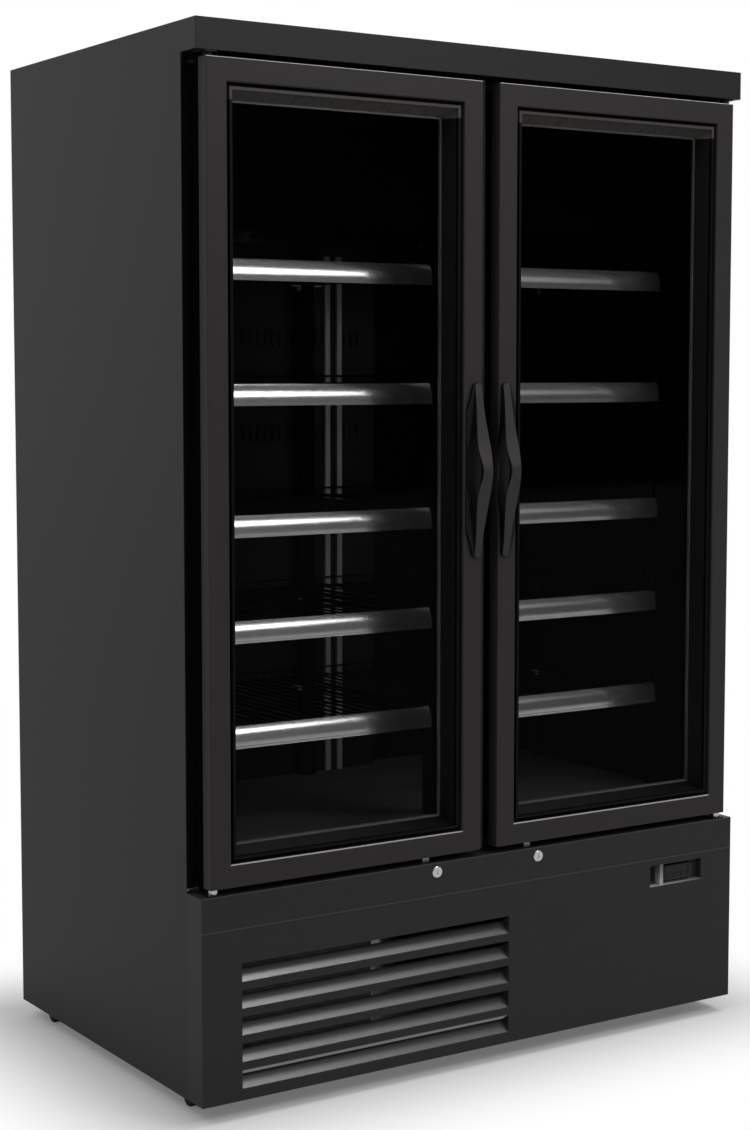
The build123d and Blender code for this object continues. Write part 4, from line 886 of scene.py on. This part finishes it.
def floor_finish():
    """Matt under and near the cabinet, plain white where the distance to it grows."""
    finish = Finish("studio_floor")
    shift = finish.add(
        "ShaderNodeVectorMath", {"operation": "SUBTRACT"}, {0: finish.place(), 1: shadow_centre}
    )
    size = finish.add("ShaderNodeVectorMath", {"operation": "ABSOLUTE"}, {0: shift})
    over = finish.add("ShaderNodeVectorMath", {"operation": "SUBTRACT"}, {0: size, 1: shadow_half})
    outside = finish.add("ShaderNodeVectorMath", {"operation": "MAXIMUM"}, {0: over, 1: (0, 0, 0)})
    distance = finish.add(
        "ShaderNodeVectorMath", {"operation": "LENGTH"}, {0: outside}, output="Value"
    )
    far = finish.ramp(distance, shadow_start, shadow_end)
    grain = finish.noise(35, 2)
    rays = [
        finish.add("ShaderNodeLightPath", output=name)
        for name in ("Is Camera Ray", "Is Glossy Ray", "Is Transmission Ray")
    ]
    seen = finish.maths("MINIMUM", rays[0] + rays[1] + rays[2], 1.0)
    paint = finish.blend(grain, colour(0.80, 0.80, 0.81), colour(0.84, 0.84, 0.85))
    dim = finish.blend(rays[0], colour(0.50, 0.50, 0.50), paint)
    matt = finish.add("ShaderNodeBsdfDiffuse", inputs={"Color": dim})
    glow = finish.blend(rays[0], colour(0.6, 0.6, 0.6), colour(1, 1, 1))
    white = finish.add("ShaderNodeEmission", inputs={"Color": glow, "Strength": 1.0})
    return finish.end(
        finish.add("ShaderNodeMixShader", inputs={0: far * seen, 1: matt, 2: white})
    )


floor_reach = 16.0
floor_mesh = bpy.data.meshes.new("studio_floor")
corners = [(-1, -1), (1, -1), (1, 1), (-1, 1)]
spread = [(floor_reach * x, floor_reach * y, 0) for x, y in corners]
floor_mesh.from_pydata(spread, [], [(0, 1, 2, 3)])
floor = bpy.data.objects.new("studio_floor", floor_mesh)
floor_mesh.materials.append(floor_finish())
bpy.context.scene.collection.objects.link(floor)
print("floor reaches", floor_reach, "m each way")

# %% [markdown]
# ## The room and its lamps
# A studio is mostly white walls that are out of the picture. The world stands for them:
# plain white to the camera, an even grey to matt paint, and to mirrors a level that falls
# off to the right and rises overhead, as a ceiling of light would look. The key lamp is
# an ellipse, and its mirror image on the bowed rails is the tapering streak.

# %% World and lamps
ambient = 0.42
side_fall, side_levels = (0.44, 0.60), (0.28, 0.06)
depth_fall, back_level = (-0.35, 0.75), 0.80
ceiling_edge, ceiling_level = (0.71, 0.84), 0.85

sky = Finish("studio", bpy.data.worlds)
bpy.context.scene.world = sky.material
direction = sky.add("ShaderNodeTexCoord", output="Generated")
depth = sky.add("ShaderNodeSeparateXYZ", inputs={"Vector": direction}, output="Y")
across = sky.add("ShaderNodeSeparateXYZ", inputs={"Vector": direction}, output="X")
ahead = sky.ramp(across, *side_fall, *side_levels)
height = sky.add("ShaderNodeSeparateXYZ", inputs={"Vector": direction}, output="Z")
ceiling = sky.ramp(height, *ceiling_edge, 0.0, ceiling_level)
wall = sky.ramp(depth, *depth_fall, ahead, back_level)
mirrored = sky.maths("MAXIMUM", wall, ceiling)
is_glossy = sky.add("ShaderNodeLightPath", output="Is Glossy Ray")
is_camera = sky.add("ShaderNodeLightPath", output="Is Camera Ray")
level = ambient + is_glossy * (mirrored - ambient)
shown = level + is_camera * (1 - level)
light = sky.add("ShaderNodeBackground", inputs={"Color": shown, "Strength": 1.0})
sky.add("ShaderNodeOutputWorld", inputs={"Surface": light})


def lamp(name, place, aim, size, power, shape="RECTANGLE"):
    """One soft area lamp: where it hangs, what it points at, its two sides, its watts."""
    data = bpy.data.lights.new(name, "AREA")
    data.shape, data.size, data.size_y, data.energy = shape, size[0], size[1], power
    item = bpy.data.objects.new(name, data)
    item.location = place
    ahead = np.array(aim, float) - np.array(place, float)
    item.rotation_euler = Vector(ahead).to_track_quat("-Z", "Y").to_euler()
    bpy.context.scene.collection.objects.link(item)
    return item


lamp("key", (1.25, -3.3, 3.05), (1.25, 0, 3.05), (1.7, 1.4), 34, "ELLIPSE")
lamp("fill", (2.65, -3.3, 2.95), (2.65, 0, 2.95), (1.2, 1.3), 1.5, "ELLIPSE")
lamp("overhead", (2.2, -1.5, 6.0), (1.6, -1.0, 0), (2.6, 1.6), 80)
lamp("side", (-3.2, -0.9, 3.6), (-0.6, 0, 1.4), (1.6, 1.6), 26)
print("lamps:", len(bpy.data.lights))
